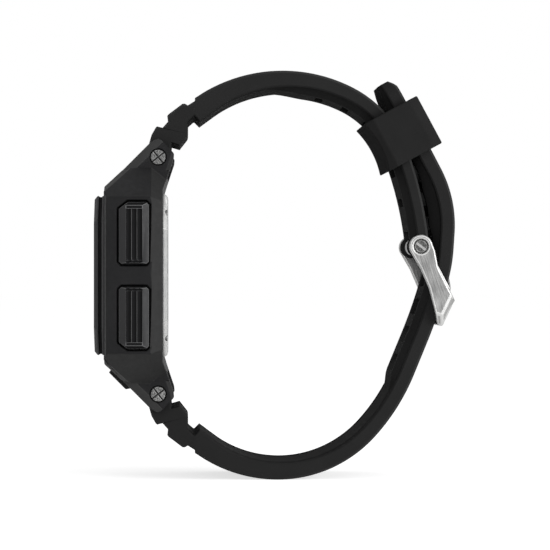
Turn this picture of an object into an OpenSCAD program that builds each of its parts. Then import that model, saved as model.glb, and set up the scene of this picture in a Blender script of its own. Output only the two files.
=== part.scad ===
// Digital sports watch with a moulded case, four ribbed pushers and a two-part rubber strap.
// X runs from the face to the wrist, Z to 12 o'clock, and -Y to 3 o'clock.
// The origin is the middle of the case back's flat outer face.

/* [Case] */
// Width of the case across the pusher sides
case_w = 46; // [44:0.5:50]
// Width left at the front after the side bevel
case_front_w = 43; // [40:0.5:44]
// Width left at the back after the side bevel
case_back_w = 43; // [40:0.5:44]
// Depth of the moulded case body from front to back
case_t = 11.25; // [11:0.25:13]
// Height of the case's flat front face
front_h = 34.1; // [32.1:0.2:34.3]
// Height of the straight part of each case side
side_h = 30; // [29.5:0.5:31]
// Height where the side corners reach the lugs
lug_root_h = 41.8; // [41:0.2:42.4]
// How far the case back stands out behind the body
back_proud = 0.85; // [0.4:0.05:1.2]
// Width of the front facet beside the slope
facet_w = 0.85; // [0.4:0.05:1.1]

/* [Lugs and strap pins] */
// Distance between the two strap pins
pin_span = 46; // [45:0.2:47]
// Depth of the strap pins in front of the body's back face
pin_in = 0.95; // [0.8:0.05:1.3]
// Diameter of the strap pins
pin_d = 2; // [1.8:0.1:2.2]
// Thickness of each lug across the watch
lug_t = 2.8; // [2.4:0.1:3.2]
// Reach of the lug's tip beyond the pin
lug_reach = 3.6; // [3.2:0.1:3.8]
// Height of the lug's heel on the wrist side of the pin
lug_heel = 3; // [2.9:0.05:3.4]
// Diameter of the lug screw heads
lug_screw_d = 2.9; // [2.6:0.1:3]
// Thickness of the lug screw heads
lug_screw_t = 0.85; // [0.7:0.05:1]

/* [Front] */
// Width of the bezel
bezel_w = 35; // [34:0.5:37]
// Height of the bezel
bezel_h = 31; // [30:0.2:31.2]
// How far the bezel stands out in front of the body
bezel_t = 2.1; // [1.9:0.1:2.6]
// Thickness of the bezel's upper step
bezel_step_t = 0.9; // [0.7:0.05:1]
// Width of the groove between the bezel's steps
bezel_groove = 0.6; // [0.4:0.05:0.7]
// Cut of the bezel's four corners
bezel_cut = 5; // [4:0.25:6]
// Width of the crystal that shows
glass_w = 26.4; // [25.4:0.2:28]
// Height of the crystal that shows
glass_h = 21.4; // [20.6:0.2:22.4]
// How far the crystal stands out in front of the body
glass_proud = 1.5; // [1:0.1:1.8]
// Width of the display window in the mask
window_w = 19.6; // [17:0.2:20]
// Height of the display window in the mask
window_h = 13.6; // [11:0.2:15]
// Thickness of the raised pad on the 6 o'clock slope
hood_t = 0.9; // [0.8:0.1:1.4]
// Length of the raised pad along the slope
hood_len = 5.2; // [4:0.1:5.4]

/* [Case back] */
// Width and height of the case back plate
back_w = 32; // [31.4:0.2:32.6]
// Thickness of the case back plate
back_t = 1.25; // [1.25:0.05:1.5]
// Diameter of the case back screws' heads
back_screw_d = 2.2; // [1.8:0.1:2.3]
// Distance of the back screws from the watch's middle, each way
back_screw_at = 11.6; // [11.5:0.05:11.8]

/* [Pushers] */
// Length of a pusher cap along the case side
cap_len = 11.8; // [10.5:0.1:12]
// Width of a pusher cap across the case side
cap_w = 5.7; // [5.4:0.1:5.9]
// How far a pusher cap stands out of the case side
cap_proud = 0.7; // [0.4:0.05:1]
// Height of a pusher's middle above the watch's middle
cap_at = 8.1; // [8:0.1:8.4]
// Distance of a pusher's middle line in front of the body's back face
cap_in = 5.5; // [5.4:0.1:5.8]
// Gap round a pusher cap
cap_gap = 0.4; // [0.3:0.02:0.5]
// Travel of a pusher
press = 0.8; // [0.5:0.05:0.9]
// Distance between the ribs on a pusher cap
rib_pitch = 1.05; // [0.95:0.01:1.1]
// Number of grooves on a pusher cap
rib_count = 3; // [1:1:3]
// Diameter of a pusher stem
stem_d = 1.8; // [1.6:0.1:2]
// Diameter of the pusher springs' wire
wire_d = 0.34; // [0.3:0.01:0.4]
// Number of working turns in a pusher spring
spring_turns = 4; // [3:1:4]

/* [Strap] */
// Width of the strap between the lugs
strap_w = 24; // [22:0.5:24.5]
// How much narrower the strap is at the buckle and along the tail
strap_taper = 2; // [1:0.25:3]
// Thickness of the rubber near the lugs
strap_root_t = 4.25; // [3.8:0.1:4.3]
// Thickness of the rubber at the buckle
strap_12_end_t = 1.9; // [1.8:0.1:2.1]
// Thickness of the rubber along the holed strap
strap_6_end_t = 2.7; // [2.4:0.1:2.9]
// Height of the raised rib on the strap's inner side
rib_h = 1.15; // [0.8:0.05:1.2]
// Height that the rib gains between the buckle and the keeper
tail_rib_more = 0.85; // [0:0.05:0.9]
// Width of the raised rib on the strap's inner side
rib_w = 17; // [15:0.5:18]
// Bevel along the strap's edges
strap_bevel = 0.45; // [0.3:0.05:0.6]
// Length of each adjusting hole along the strap
hole_len = 3.4; // [3:0.1:3.8]
// Width of each adjusting hole across the strap
hole_w = 9.4; // [9.2:0.1:10.4]
// Distance between adjusting holes
hole_pitch = 6.1; // [5.6:0.1:6.4]
// How far each adjusting hole's middle lies on the lug side of the tongue's leg
hole_shift = 0.8; // [0:0.1:0.9]
// Adjusting holes on the lug side of the one in use
holes_before = 4; // [2:1:4]
// Adjusting holes on the tail side of the one in use
holes_after = 5; // [3:1:5]
// Length of each vent recess on the buckle half
vent_len = 1.7; // [1.2:0.1:2.2]
// Distance between the vent recesses
vent_pitch = 6.4; // [5.6:0.1:6.6]
// Number of vent recesses
vent_count = 6; // [3:1:6]
// Length of the tail beyond the keeper's middle
tail_past = 10.5; // [9.5:0.1:12.5]

/* [Keeper] */
// Length of the keeper along the strap
keeper_len = 10.5; // [8:0.25:10.5]
// Thickness of the keeper's two side walls
keeper_side_t = 1.65; // [1.2:0.05:2]
// Thickness of the keeper's wrist-side wall
keeper_in_t = 0.9; // [0.8:0.1:1.5]
// Thickness of the keeper's outer wall
keeper_out_t = 1.4; // [1.2:0.05:2]
// Place of the keeper's middle along the strap from its start
keeper_at = 46; // [44:0.1:47]

/* [Buckle] */
// Gap between the strap and each buckle arm
arm_gap = 0.3; // [0.2:0.05:0.6]
// Thickness of each buckle arm
arm_t = 1.7; // [1.4:0.1:2]
// Radius of the round end of a buckle arm
arm_r = 2.28; // [2.2:0.02:2.4]
// Diameter of the buckle bar
bar_d = 1.8; // [1.6:0.1:1.9]
// Radius of the strap's rubber round the buckle bar
barrel_r = 2.15; // [2:0.05:2.3]
// Diameter of the buckle bar's screw heads
bar_screw_d = 2.6; // [2.2:0.1:2.8]
// Width of the tongue
tongue_w = 8.4; // [6:0.1:8.6]
// Thickness of the tongue
tongue_t = 0.75; // [0.6:0.05:0.9]

/* [Fits] */
// Gap between the strap and each lug
lug_gap = 0.2; // [0.15:0.05:0.3]
// Radial running clearance of pins, stems and bars
run_gap = 0.05; // [0.03:0.01:0.08]
// Gap between rubber or metal parts that slide past each other
slide_gap = 0.3; // [0.25:0.01:0.4]
// Clearance round parts that are assembled inside
fit_gap = 0.1; // [0.05:0.01:0.15]

/* [Hidden] */
$fn = 64;

case_color = "#3a3b3d";
rubber_color = "#2b2c2e";
steel_color = "#c9cbcc";
over = 1;                 // how far a cut runs past the face that it opens

strap_end_w = strap_w - strap_taper;
buckle_w = strap_end_w + 2 * (arm_t + arm_gap);

// Depths along X, with the case back's outer face at 0
body_back = -back_proud;
body_front = body_back - case_t;
bezel_front = body_front - bezel_t;
front_wall = 2.2;         // wall in front of the movement space
seat_depth = 1.2;         // depth of the crystal's seat in the front face
gasket_t = 0.4;
room_front = body_front + front_wall;
room_back = -back_t;
room_w = 26.8;            // movement space across its flats
room_reach = 19;          // |Y| + |Z| at the movement space's cut corners
frame_w = 22.6;           // LCD frame and battery holder across the pushers
frame_h = 25.6;
frame_reach = room_reach - 0.2;
frame_cut = (frame_w + frame_h) / 2 - frame_reach;

// The slope from the front face to the lug's tip
pin_x = body_back - pin_in;
pin_z = pin_span / 2;
slope_start = [body_front, front_h / 2];
lug_nose = [pin_x - 1.85, pin_z + lug_reach - 1.05];
slope_len = norm(lug_nose - slope_start);
slope_dir = (lug_nose - slope_start) / slope_len;
slope_out = [-slope_dir.y, slope_dir.x];
lug_in = strap_w / 2 + lug_gap;
lug_out = lug_in + lug_t;
pocket_r = 3.5;           // room round the strap's end at the pin
hood_edge = 7.4;          // slope length that covers the strap's end
hood_w = 22;

// One pusher, at 2 o'clock, measured outward from the case side
cap_x = body_back - cap_in;
side_y = case_w / 2;
cap_top = side_y + cap_proud;
cap_rim = side_y - 0.1;
cap_foot = side_y - 1.5;
window_floor = cap_foot - press - slide_gap;
pocket_floor = window_floor - 2.4;
room_side = room_w / 2;
clip_t = 0.35;
clip_r = stem_d / 2 + 0.9;
stem_in = room_side - fit_gap - clip_t - 0.45;
cap_cut = [1.7, 1.3];
cap_soft = 0.5;           // cut of the cap's other corners
ring_groove = 0.8;

// Strap outlines near the lug: outer and inner points from the pin, for each cross-section
knuckle = [
    [[-2.56, 1.36], [2.56, -1.36]],
    [[-1.82, 2.71], [2.4, 1.8]],
    [[-1.55, 3.7], [2.55, 3.1]],
    [[-1.31, 4.49], [4.1, 2.6]],
    [[-0.51, 5.9], [5.2, 4]],
    [[-0.23, 6.13], [5.4, 4.26]],
    [[0.74, 5.76], [5.7, 4.65]],
    [[2.05, 7.25], [5.8, 5]],
    [[1.74, 8.19], [5.8, 5.5]],
    [[2.01, 8.52], [5.8, 6.1]],
    [[4.73, 10.57], [5.49, 6.9]],
    [[5.2, 10.57], [6.2, 7.6]],
    [[5.75, 10.24], [6.9, 8.2]],
    [[7.1, 11.1], [7.1, 8.2]],
    [[7.15, 11.7], [8.1, 7.2]]];
strap_root = [pin_x, pin_z] + knuckle[len(knuckle) - 1][0];
eye_r = 2.9;              // rubber round the strap pin

// Strap routes: straight runs are [0, length] and bends are [radius, angle]
head_12 = 34.8;
route_12 = [[30.3, 61.8], [22, 43], [75, 12]];
len_12 = route_length(route_12);
start_12 = [strap_root.x, strap_root.y, head_12];
end_12 = at(start_12, route_12, len_12);
bar_ahead = 3.6;
bar_under = 1.85;
bar = ahead(end_12, bar_ahead, -bar_under);
rib_12 = [14, 24];        // the inner rib rises between these lengths
run_12 = 28;              // length over which the rubber thins
run_6 = 16;

// The holed half is drawn as a mirror image, with 6 o'clock upward, and closes on the buckle bar
head_6 = 33.2;
bends_6 = [[27.8, 33.6], [25.7, 47.3], [41, 20], [105, 7], [31, 11.5]];
head_hole = -85.5;
head_tail = -117;
tail_bend = 24;
start_6 = [strap_root.x, strap_root.y, head_6];
barrel_gap = 0.7;         // from the rubber round the bar to the tail's rib
bar_drop = barrel_r + barrel_gap + strap_6_end_t + rib_h;
hole_outer = ahead([bar.x, -bar.y, head_hole], 0, bar_drop);
open_end = at(start_6, bends_6, route_length(bends_6));
miss = [hole_outer.x - open_end.x, hole_outer.y - open_end.y];
run_heads = [head_6, -67];
first_run = (miss.x * sin(run_heads[1]) - miss.y * cos(run_heads[1])) / sin(run_heads[1] - run_heads[0]);
second_run = (miss.y * cos(run_heads[0]) - miss.x * sin(run_heads[0])) / sin(run_heads[1] - run_heads[0]);
keeper_mid = at(start_12, route_12, keeper_at);
keeper_gap = 0.42;
tail_t = strap_6_end_t + rib_h;
tail_mid = ahead([keeper_mid.x, -keeper_mid.y, head_tail], 0, keeper_gap + tail_t);
to_tail = [tail_mid.x - hole_outer.x, tail_mid.y - hole_outer.y];
tail_turn = head_hole - head_tail;
hole_leg = (to_tail.x * sin(head_tail) - to_tail.y * cos(head_tail)) / sin(head_tail - head_hole);
tail_leg = (to_tail.y * cos(head_hole) - to_tail.x * sin(head_hole)) / sin(head_tail - head_hole);
tail_tangent = tail_bend * tan(tail_turn / 2);
route_6 = [[0, first_run], bends_6[0], bends_6[1], bends_6[2], [0, second_run], bends_6[3], bends_6[4],
    [0, hole_leg - tail_tangent], [tail_bend, tail_turn], [0, tail_leg - tail_tangent + tail_past]];
len_6 = route_length(route_6);
hole_at = seg_total(route_6, 7);
more_from = [hole_at + 1.5, hole_at + 5];
more_to = [hole_at + 12, hole_at + 19];
rib_6 = [hole_at - (holes_before + 0.75) * hole_pitch, hole_at - (holes_before + 0.4) * hole_pitch];

// Points on a route: [x, z, heading] after a length, with the outer side on the left
function seg_length(seg) = seg[0] == 0 ? seg[1] : seg[0] * seg[1] * PI / 180;
function seg_total(route, count, i = 0) = i == count
    ? 0
    : seg_length(route[i]) + seg_total(route, count, i + 1);
function route_length(route) = seg_total(route, len(route));
function run_seg(p, seg) = seg[0] == 0
    ? [p[0] + seg[1] * cos(p[2]), p[1] + seg[1] * sin(p[2]), p[2]]
    : [p[0] - seg[0] * (sin(p[2] - seg[1]) - sin(p[2])), p[1] + seg[0] * (cos(p[2] - seg[1]) - cos(p[2])),
        p[2] - seg[1]];
function cut_seg(seg, s) = seg[0] == 0 ? [0, s] : [seg[0], s / seg[0] * 180 / PI];
function at(p, route, s, i = 0) = i == len(route) - 1 || s <= seg_length(route[i])
    ? run_seg(p, cut_seg(route[i], s))
    : at(run_seg(p, route[i]), route, s - seg_length(route[i]), i + 1);
function ahead(p, along, outward) = [p[0] + along * cos(p[2]) - outward * sin(p[2]),
    p[1] + along * sin(p[2]) + outward * cos(p[2]), p[2]];
function flip(p) = [p[0], -p[1]];

// Smooth step from 0 to 1 between two lengths
function ease(s, span) = let(t = max(0, min(1, (s - span[0]) / (span[1] - span[0])))) t * t * (3 - 2 * t);
function cut_rect(w, h, c) = [[-w / 2, -h / 2 + c], [-w / 2 + c, -h / 2], [w / 2 - c, -h / 2],
    [w / 2, -h / 2 + c], [w / 2, h / 2 - c], [w / 2 - c, h / 2], [-w / 2 + c, h / 2], [-w / 2, h / 2 - c]];

// Outlines in (x, z) spread across Y, outlines in (y, z) spread along X, and round bars
module across(w, points) {
    rotate([90, 0, 0]) linear_extrude(w, center = true) polygon(points);
}
module along_x(x0, x1, points) {
    translate([x0, 0, 0]) rotate([90, 0, 90]) linear_extrude(x1 - x0) polygon(points);
}
module rod_y(x, z, r, y0, y1) {
    translate([x, y0, z]) rotate([-90, 0, 0]) cylinder(r = r, h = y1 - y0);
}
module rod_x(y, z, r, x0, x1) {
    translate([x0, y, z]) rotate([0, 90, 0]) cylinder(r = r, h = x1 - x0);
}
module box(x0, x1, y0, y1, z0, z1) {
    translate([x0, y0, z0]) cube([x1 - x0, y1 - y0, z1 - z0]);
}
module both_sides() {
    children();
    mirror([0, 1, 0]) children();
}
module both_ends() {
    children();
    mirror([0, 0, 1]) children();
}
// Everything beyond a plane through point p with outward direction n
module beyond(p, n) {
    half = case_w;
    translate(p) rotate([0, acos(n.z / norm(n)), atan2(n.y, n.x)])
        translate([-half, -half, 0]) cube([2 * half, 2 * half, half]);
}

// Case
lug_top = pin_z + lug_reach;
heel_x = pin_x + lug_heel;
lug_half = [slope_start, lug_nose, [pin_x - 0.65, lug_top - 0.18], [pin_x, lug_top],
    [pin_x + 0.6, lug_top - 0.25], [heel_x + 0.08, pin_z + 0.7], [heel_x, pin_z - 0.3],
    [body_back, back_w / 2 + 0.6]];
heel_top = len(lug_half) - 2;
side_outline = concat(lug_half, [for (i = [len(lug_half) - 1:-1:0]) flip(lug_half[i])]);
corner_half = [[side_y, side_h / 2], [lug_out, lug_root_h / 2], [lug_out, pin_z + 2 * lug_reach]];
front_outline = concat(corner_half, [for (i = [2:-1:0]) [-corner_half[i].x, corner_half[i].y]],
    [for (i = [0:2]) -corner_half[i]], [for (i = [2:-1:0]) flip(corner_half[i])]);
front_bevel = 0.5;
back_bevel = 2.3;
bevel_half = [[body_front, case_front_w / 2], [body_front + front_bevel, side_y],
    [body_back - back_bevel, side_y], [body_back, case_back_w / 2], [pin_x + 2 * lug_heel, case_back_w / 2]];
bevel_outline = concat(bevel_half, [for (i = [4:-1:0]) flip(bevel_half[i])]);
corner_out = [0, lug_root_h / 2 - side_h / 2, side_y - lug_out];
corner_y = side_y - (front_h - side_h) / 2 * (side_y - lug_out) / ((lug_root_h - side_h) / 2);
heel_dir = lug_half[heel_top] - lug_half[heel_top + 1];
slope_out3 = [slope_out.x, 0, slope_out.y];
heel_out3 = [heel_dir.y, 0, -heel_dir.x] / norm(heel_dir);
corner_out3 = corner_out / norm(corner_out);
hood_end = slope_start + slope_dir * hood_edge;
pocket_z = pin_z - pocket_r - slide_gap;
pocket_leg = (hood_end.y - pocket_z) / slope_out.y;
pocket = [hood_end + slope_out * 3, hood_end, hood_end - slope_out * pocket_leg, [pin_x + 8, pocket_z],
    [pin_x + 8, pin_z + 9], [hood_end.x - 4, pin_z + 9]];
pin_end = lug_out - lug_screw_t - 0.15;
screw_room = 0.25;
seat_cut = 3;

module facet(p, n, inset, y0, y1, z0) intersection() {
    beyond(p - n / norm(n) * inset, n);
    box(body_front - 2 * over, pin_x + 2 * lug_heel, y0, y1, z0, pin_span);
}
module edge_facets() {
    side = [0, 1, 0];
    root_z = lug_root_h / 2 - 0.5;
    facet([slope_start.x, lug_out, slope_start.y], slope_out3 + side * 1.8, facet_w, 0, lug_out, root_z);
    facet([lug_half[heel_top].x, lug_out, lug_half[heel_top].y], heel_out3 + side * 1.1, facet_w * 0.6, 0,
        lug_out, root_z);
    facet([body_front, corner_y, slope_start.y], slope_out3 + corner_out3 * 1.6, facet_w * 0.4, lug_out,
        side_y + over, side_h / 2);
    facet([body_back - back_bevel, side_y, side_h / 2],
        [(case_w - case_back_w) / 2, 0, 0] + corner_out3 * back_bevel, 0, lug_out, side_y + over, 0);
}

// A pusher's window and bore, at 10 o'clock
cap_x0 = cap_x - cap_w / 2;
cap_x1 = cap_x + cap_w / 2;
cap_z0 = cap_at - cap_len / 2;
cap_z1 = cap_at + cap_len / 2;
function cap_outline(g) = let(c = cap_soft + g * 0.6, x0 = cap_x0 - g, x1 = cap_x1 + g, z0 = cap_z0 - g,
    z1 = cap_z1 + g) [[x0, z0 + c], [x0 + c, z0], [x1 - c, z0], [x1, z0 + c], [x1, z1 - c], [x1 - c, z1],
    [x0 + cap_cut.x + g * 0.6, z1], [x0, z1 - cap_cut.y - g * 0.6]];
module from_side(y0, y1, points) {
    translate([0, y1, 0]) rotate([90, 0, 0]) linear_extrude(y1 - y0) polygon(points);
}
module pusher_bore() {
    stem_r = stem_d / 2;
    from_side(window_floor, side_y + over, cap_outline(cap_gap));
    rod_y(cap_x, cap_at, stem_r + 1.1, pocket_floor, window_floor + 0.01);
    rod_y(cap_x, cap_at, stem_r + run_gap, room_side - over, pocket_floor + 0.01);
    rod_y(cap_x, cap_at, stem_r + 0.62, ring_mid - ring_groove / 2, ring_mid + ring_groove / 2);
    rod_y(cap_x, cap_at, clip_r + slide_gap, room_reach / 2, room_side);
}
ring_mid = (pocket_floor + room_side) / 2;

module case_body() color(case_color) difference() {
    intersection() {
        across(case_w + 2, side_outline);
        along_x(body_front - over, pin_x + 2 * lug_heel, front_outline);
        translate([0, 0, -pin_span]) linear_extrude(2 * pin_span) polygon(bevel_outline);
    }
    along_x(room_front, over, cut_rect(room_w, room_w, room_w - room_reach));
    along_x(body_front - over, body_front + seat_depth,
        cut_rect(glass_w + 2 + 2 * fit_gap, glass_h + 2 + 2 * fit_gap, seat_cut));
    along_x(body_front, room_front + 0.01, cut_rect(glass_w - 1, glass_h - 1, seat_cut - 0.5));
    along_x(room_back, over, cut_rect(back_w + 2 * fit_gap, back_w + 2 * fit_gap, back_cut));
    along_x(room_back - ring_depth, room_back + 0.01, cut_ring_outer());
    for (y = [-1, 1], z = [-1, 1])
        rod_x(y * back_screw_at, z * back_screw_at, back_shank_r + 0.05, room_back - 3.4, over);
    both_ends() across(2 * lug_in, pocket);
    both_ends() rod_y(pin_x, pin_z, pin_d / 2 + 0.02, -lug_out - over, lug_out + over);
    both_ends() both_sides() rod_y(pin_x, pin_z, lug_screw_d / 2 + screw_room, pin_end, lug_out + over);
    both_ends() both_sides() edge_facets();
    both_ends() both_sides() pusher_bore();
}

// Bezel and front
module bezel() color(case_color) difference() {
    union() {
        along_x(body_front - bezel_t + bezel_step_t + bezel_groove, body_front,
            cut_rect(bezel_w, bezel_h, bezel_cut));
        along_x(bezel_front + bezel_step_t / 2, body_front - 0.1,
            cut_rect(bezel_w - 1.2, bezel_h - 1.2, bezel_cut - 0.3));
        hull() {
            along_x(bezel_front, bezel_front + 0.1, cut_rect(bezel_w - 1.4, bezel_h - 1.4, bezel_cut - 0.4));
            along_x(bezel_front + bezel_step_t - 0.3, bezel_front + bezel_step_t,
                cut_rect(bezel_w, bezel_h, bezel_cut));
        }
    }
    along_x(bezel_front - over, body_front + over, cut_rect(glass_w + 0.5, glass_h + 0.5, seat_cut));
}
module crystal() color("#9fb0b8", 0.5) {
    along_x(body_front - glass_proud, body_front + 0.01, cut_rect(glass_w, glass_h, seat_cut - 0.2));
    along_x(body_front, body_front + seat_depth - gasket_t, cut_rect(glass_w + 2, glass_h + 2, seat_cut));
}
module crystal_gasket() color(rubber_color) difference() {
    along_x(body_front + seat_depth - gasket_t, body_front + seat_depth,
        cut_rect(glass_w + 1.8, glass_h + 1.8, seat_cut));
    along_x(body_front, room_front, cut_rect(glass_w - 0.8, glass_h - 0.8, seat_cut - 0.4));
}
hood_at = 1.85;
module hood_plate() color(case_color) mirror([0, 0, 1]) across(hood_w, [
    slope_start + slope_dir * hood_at,
    slope_start + slope_dir * (hood_at - 0.1) + slope_out * hood_t,
    slope_start + slope_dir * (hood_at + hood_len - 0.6) + slope_out * hood_t,
    slope_start + slope_dir * (hood_at + hood_len)]);

// Movement, from the front to the back
mask_t = 0.4;
lcd_x = room_front + mask_t + 0.05;
lcd_t = 1.1;
lcd_w = 20.4;
lcd_h = 17.8;
lcd_cut = 1.5;
light_x = lcd_x + lcd_t + 0.05;
light_t = 0.6;
board_x = room_front + 3;
board_t = 0.6;
holder_x = board_x + board_t + 0.05;
holder_back = room_back - 0.95;
battery_d = 20;
battery_t = 2.5;
strip_z = lcd_h / 2 - 0.6;

module dial_mask() color("#20262b") difference() {
    along_x(room_front, room_front + mask_t,
        cut_rect(room_w - 2 * fit_gap, room_w - 2 * fit_gap, room_w - room_reach));
    along_x(room_front - over, room_front + 2 * mask_t, cut_rect(window_w, window_h, 1));
}
module lcd_panel() color("#8f9a86") along_x(lcd_x, lcd_x + lcd_t, cut_rect(lcd_w, lcd_h, lcd_cut));
module light_panel() color("#dfe6d8") along_x(light_x, light_x + light_t,
    cut_rect(lcd_w - 1, 2 * (strip_z - 0.7), 0.5));
module lcd_frame() color("#d8d8d4") difference() {
    along_x(room_front + mask_t + 0.05, board_x - 0.05, cut_rect(frame_w, frame_h, frame_cut));
    along_x(room_front, lcd_x + lcd_t + fit_gap, cut_rect(lcd_w + 2 * fit_gap, lcd_h + 2 * fit_gap, lcd_cut));
    along_x(room_front, board_x + over, cut_rect(lcd_w - 0.6, lcd_h + 2 * fit_gap, lcd_cut));
}
module zebra_strips() color("#c06a5a") both_ends()
    box(lcd_x + lcd_t + 0.02, board_x - 0.02, -lcd_w / 2 + 2, lcd_w / 2 - 2, strip_z - 0.5, strip_z + 0.5);
module circuit_board() color("#2f6b45") difference() {
    along_x(board_x, board_x + board_t, cut_rect(frame_w - 0.6, frame_h - 0.6, frame_cut));
    for (z = [-1, 1]) rod_x(0, z * (frame_h / 2 - 1.6), 0.5, board_x - over, board_x + 2 * board_t);
}
module battery_holder() color("#d8d8d4") difference() {
    along_x(holder_x, holder_back, cut_rect(frame_w, frame_h, frame_cut));
    rod_x(0, 0, battery_d / 2 + 0.15, holder_back - battery_t - 0.15, holder_back + over);
    rod_x(0, 0, battery_d / 2 - 2, holder_x - over, holder_back);
}
module battery() color(steel_color) {
    rod_x(0, 0, battery_d / 2, holder_back - battery_t - 0.1 + 0.4, holder_back - 0.1);
    rod_x(0, 0, battery_d / 2 - 1.2, holder_back - battery_t - 0.1, holder_back - 0.1);
}
module battery_clip() color(steel_color) difference() {
    along_x(holder_back + 0.03, holder_back + 0.23, cut_rect(9, frame_h - 1, 2));
    along_x(holder_back, holder_back + over, cut_rect(4, 12, 1));
}
module buzzer_disc() color("#b08d4a") {
    rod_x(0, 0, 10, room_back - 0.22, room_back - 0.02);
    rod_x(0, 0, 7, room_back - 0.42, room_back - 0.21);
}

// Case back
back_cut = 7;
ring_depth = 0.7;
back_shank_r = 0.5;
function grown(g) = cut_rect(room_w + 2 * g, room_w + 2 * g, room_w - room_reach + g * 0.6);
function cut_ring_outer() = grown(1.35);
module case_back() color(steel_color) difference() {
    intersection() {
        along_x(room_back, 0, cut_rect(back_w, back_w, back_cut));
        union() {
            along_x(room_back, -0.6, cut_rect(back_w, back_w, back_cut));
            hull() {
                along_x(-0.7, -0.6, cut_rect(back_w, back_w, back_cut));
                along_x(-0.2, 0, cut_rect(back_w - 1, back_w - 1, back_cut - 0.3));
            }
        }
    }
    for (y = [-1, 1], z = [-1, 1]) {
        rod_x(y * back_screw_at, z * back_screw_at, back_screw_d / 2 + 0.1, -0.65, over);
        rod_x(y * back_screw_at, z * back_screw_at, back_shank_r + 0.1, room_back - over, over);
    }
}
module case_back_gasket() color(rubber_color) difference() {
    along_x(room_back - ring_depth + 0.05, room_back - 0.05, grown(1.25));
    along_x(room_back - ring_depth - over, room_back + over, grown(0.1));
}
module case_back_screws() color(steel_color) for (y = [-1, 1], z = [-1, 1]) difference() {
    union() {
        rod_x(y * back_screw_at, z * back_screw_at, back_screw_d / 2, -0.63, -0.06);
        rod_x(y * back_screw_at, z * back_screw_at, back_shank_r, room_back - 3.2, -0.6);
    }
    translate([-0.06, y * back_screw_at, z * back_screw_at]) for (a = [0, 90]) rotate([a, 0, 0])
        cube([0.5, 0.3, 1.3], center = true);
}

// Strap pins and their screws
module strap_pin() color(steel_color) difference() {
    rod_y(pin_x, pin_z, pin_d / 2, -pin_end + 0.02, pin_end - 0.02);
    both_sides() rod_y(pin_x, pin_z, 0.62, pin_end - 2.8, pin_end + over);
}
module strap_pin_12() strap_pin();
module strap_pin_6() mirror([0, 0, 1]) strap_pin();
module lug_screws() color(steel_color) both_ends() both_sides() difference() {
    union() {
        rod_y(pin_x, pin_z, lug_screw_d / 2, pin_end, pin_end + lug_screw_t);
        rod_y(pin_x, pin_z, 0.58, pin_end - 2.5, pin_end + 0.1);
    }
    translate([pin_x, pin_end + lug_screw_t, pin_z]) for (a = [35, 125]) rotate([0, a, 0])
        cube([lug_screw_d + over, 0.5, 0.36], center = true);
}

// Pushers, at 10 o'clock
module pusher_cap() color(case_color) difference() {
    intersection() {
        from_side(cap_foot, cap_top, cap_outline(0));
        translate([0, 0, cap_z0 - over]) linear_extrude(cap_len + 2 * over) polygon([
            [cap_x0, cap_foot], [cap_x0, cap_rim], [cap_x0 + 1.35, cap_top], [cap_x1 - 1.2, cap_top],
            [cap_x1, cap_rim], [cap_x1, cap_foot]]);
        along_x(cap_x0 - over, cap_x1 + over, [[cap_foot, cap_z0], [cap_rim, cap_z0],
            [cap_top, cap_z0 + 0.25], [cap_top, cap_z1 - 0.6], [cap_rim, cap_z1], [cap_foot, cap_z1]]);
    }
    for (i = [0:rib_count - 1])
        translate([cap_x + 0.07 + (i - (rib_count - 1) / 2) * rib_pitch, cap_top + 0.2, cap_z0 + groove_in]) {
        cylinder(r = groove_r, h = cap_len - groove_in - groove_end, $fn = 32);
        sphere(r = groove_r, $fn = 32);
    }
    rod_y(cap_x, cap_at, stem_d / 2 + 0.02, cap_foot - over, cap_foot + 1.1);
}
groove_r = rib_pitch / 2 + 0.06;
groove_in = groove_r + 0.2;
groove_end = 1.25;
clip_top = room_side - fit_gap;
module pusher_stem() color(steel_color) difference() {
    rod_y(cap_x, cap_at, stem_d / 2, stem_in, cap_foot + 1.08);
    difference() {
        rod_y(cap_x, cap_at, stem_d, clip_top - clip_t - 0.02, clip_top + 0.02);
        rod_y(cap_x, cap_at, stem_d / 2 - 0.3, clip_top - over, clip_top + over);
    }
}
module pusher_clip() color(steel_color) difference() {
    rod_y(cap_x, cap_at, clip_r, clip_top - clip_t, clip_top);
    rod_y(cap_x, cap_at, stem_d / 2 - 0.28, clip_top - over, clip_top + over);
    box(cap_x - 0.5, cap_x + 0.5, clip_top - over, clip_top + over, cap_at, cap_at + stem_d + over);
}
spring_r = stem_d / 2 + 0.5;
ring_steps = 8;
module pusher_spring() color(steel_color) {
    steps = round(spring_turns * ring_steps);
    y0 = pocket_floor + wire_d / 2 + 0.03;
    y1 = cap_foot - wire_d / 2 - 0.03;
    tube([for (k = [0:steps]) let(a = -360 * k / ring_steps, y = y0 + (y1 - y0) * k / steps)
        [for (q = [0:5]) let(r = spring_r + wire_d / 2 * cos(60 * q))
            [cap_x + r * cos(a), y + wire_d / 2 * sin(60 * q), cap_at + r * sin(a)]]], hexagon_cap);
}
hexagon_cap = [for (q = [1:4]) [0, q, q + 1]];
// Least distance between the wire's own surfaces in neighbouring turns, measured on the ring points
spring_end = [cap_foot - wire_d / 2 - 0.03, pocket_floor + wire_d / 2 + 0.03];
function wire_point(k, q) = let(a = -360 * k / ring_steps, r = spring_r + wire_d / 2 * cos(60 * q))
    [r * cos(a), spring_end[1] + (spring_end[0] - spring_end[1]) * k / (spring_turns * ring_steps)
        + wire_d / 2 * sin(60 * q), r * sin(a)];
spring_self_gap = min([for (k = [ring_steps - 2:ring_steps + 2], p = [0:5], q = [0:5])
    norm(wire_point(k, p) - wire_point(0, q))]);
module gasket_ring() rotate([-90, 0, 0]) rotate_extrude($fn = 32)
    translate([stem_d / 2 + 0.33, 0]) circle(r = 0.26, $fn = 20);
module pusher_gaskets() color(rubber_color) both_ends() both_sides()
    translate([cap_x, ring_mid, cap_at]) gasket_ring();
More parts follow.
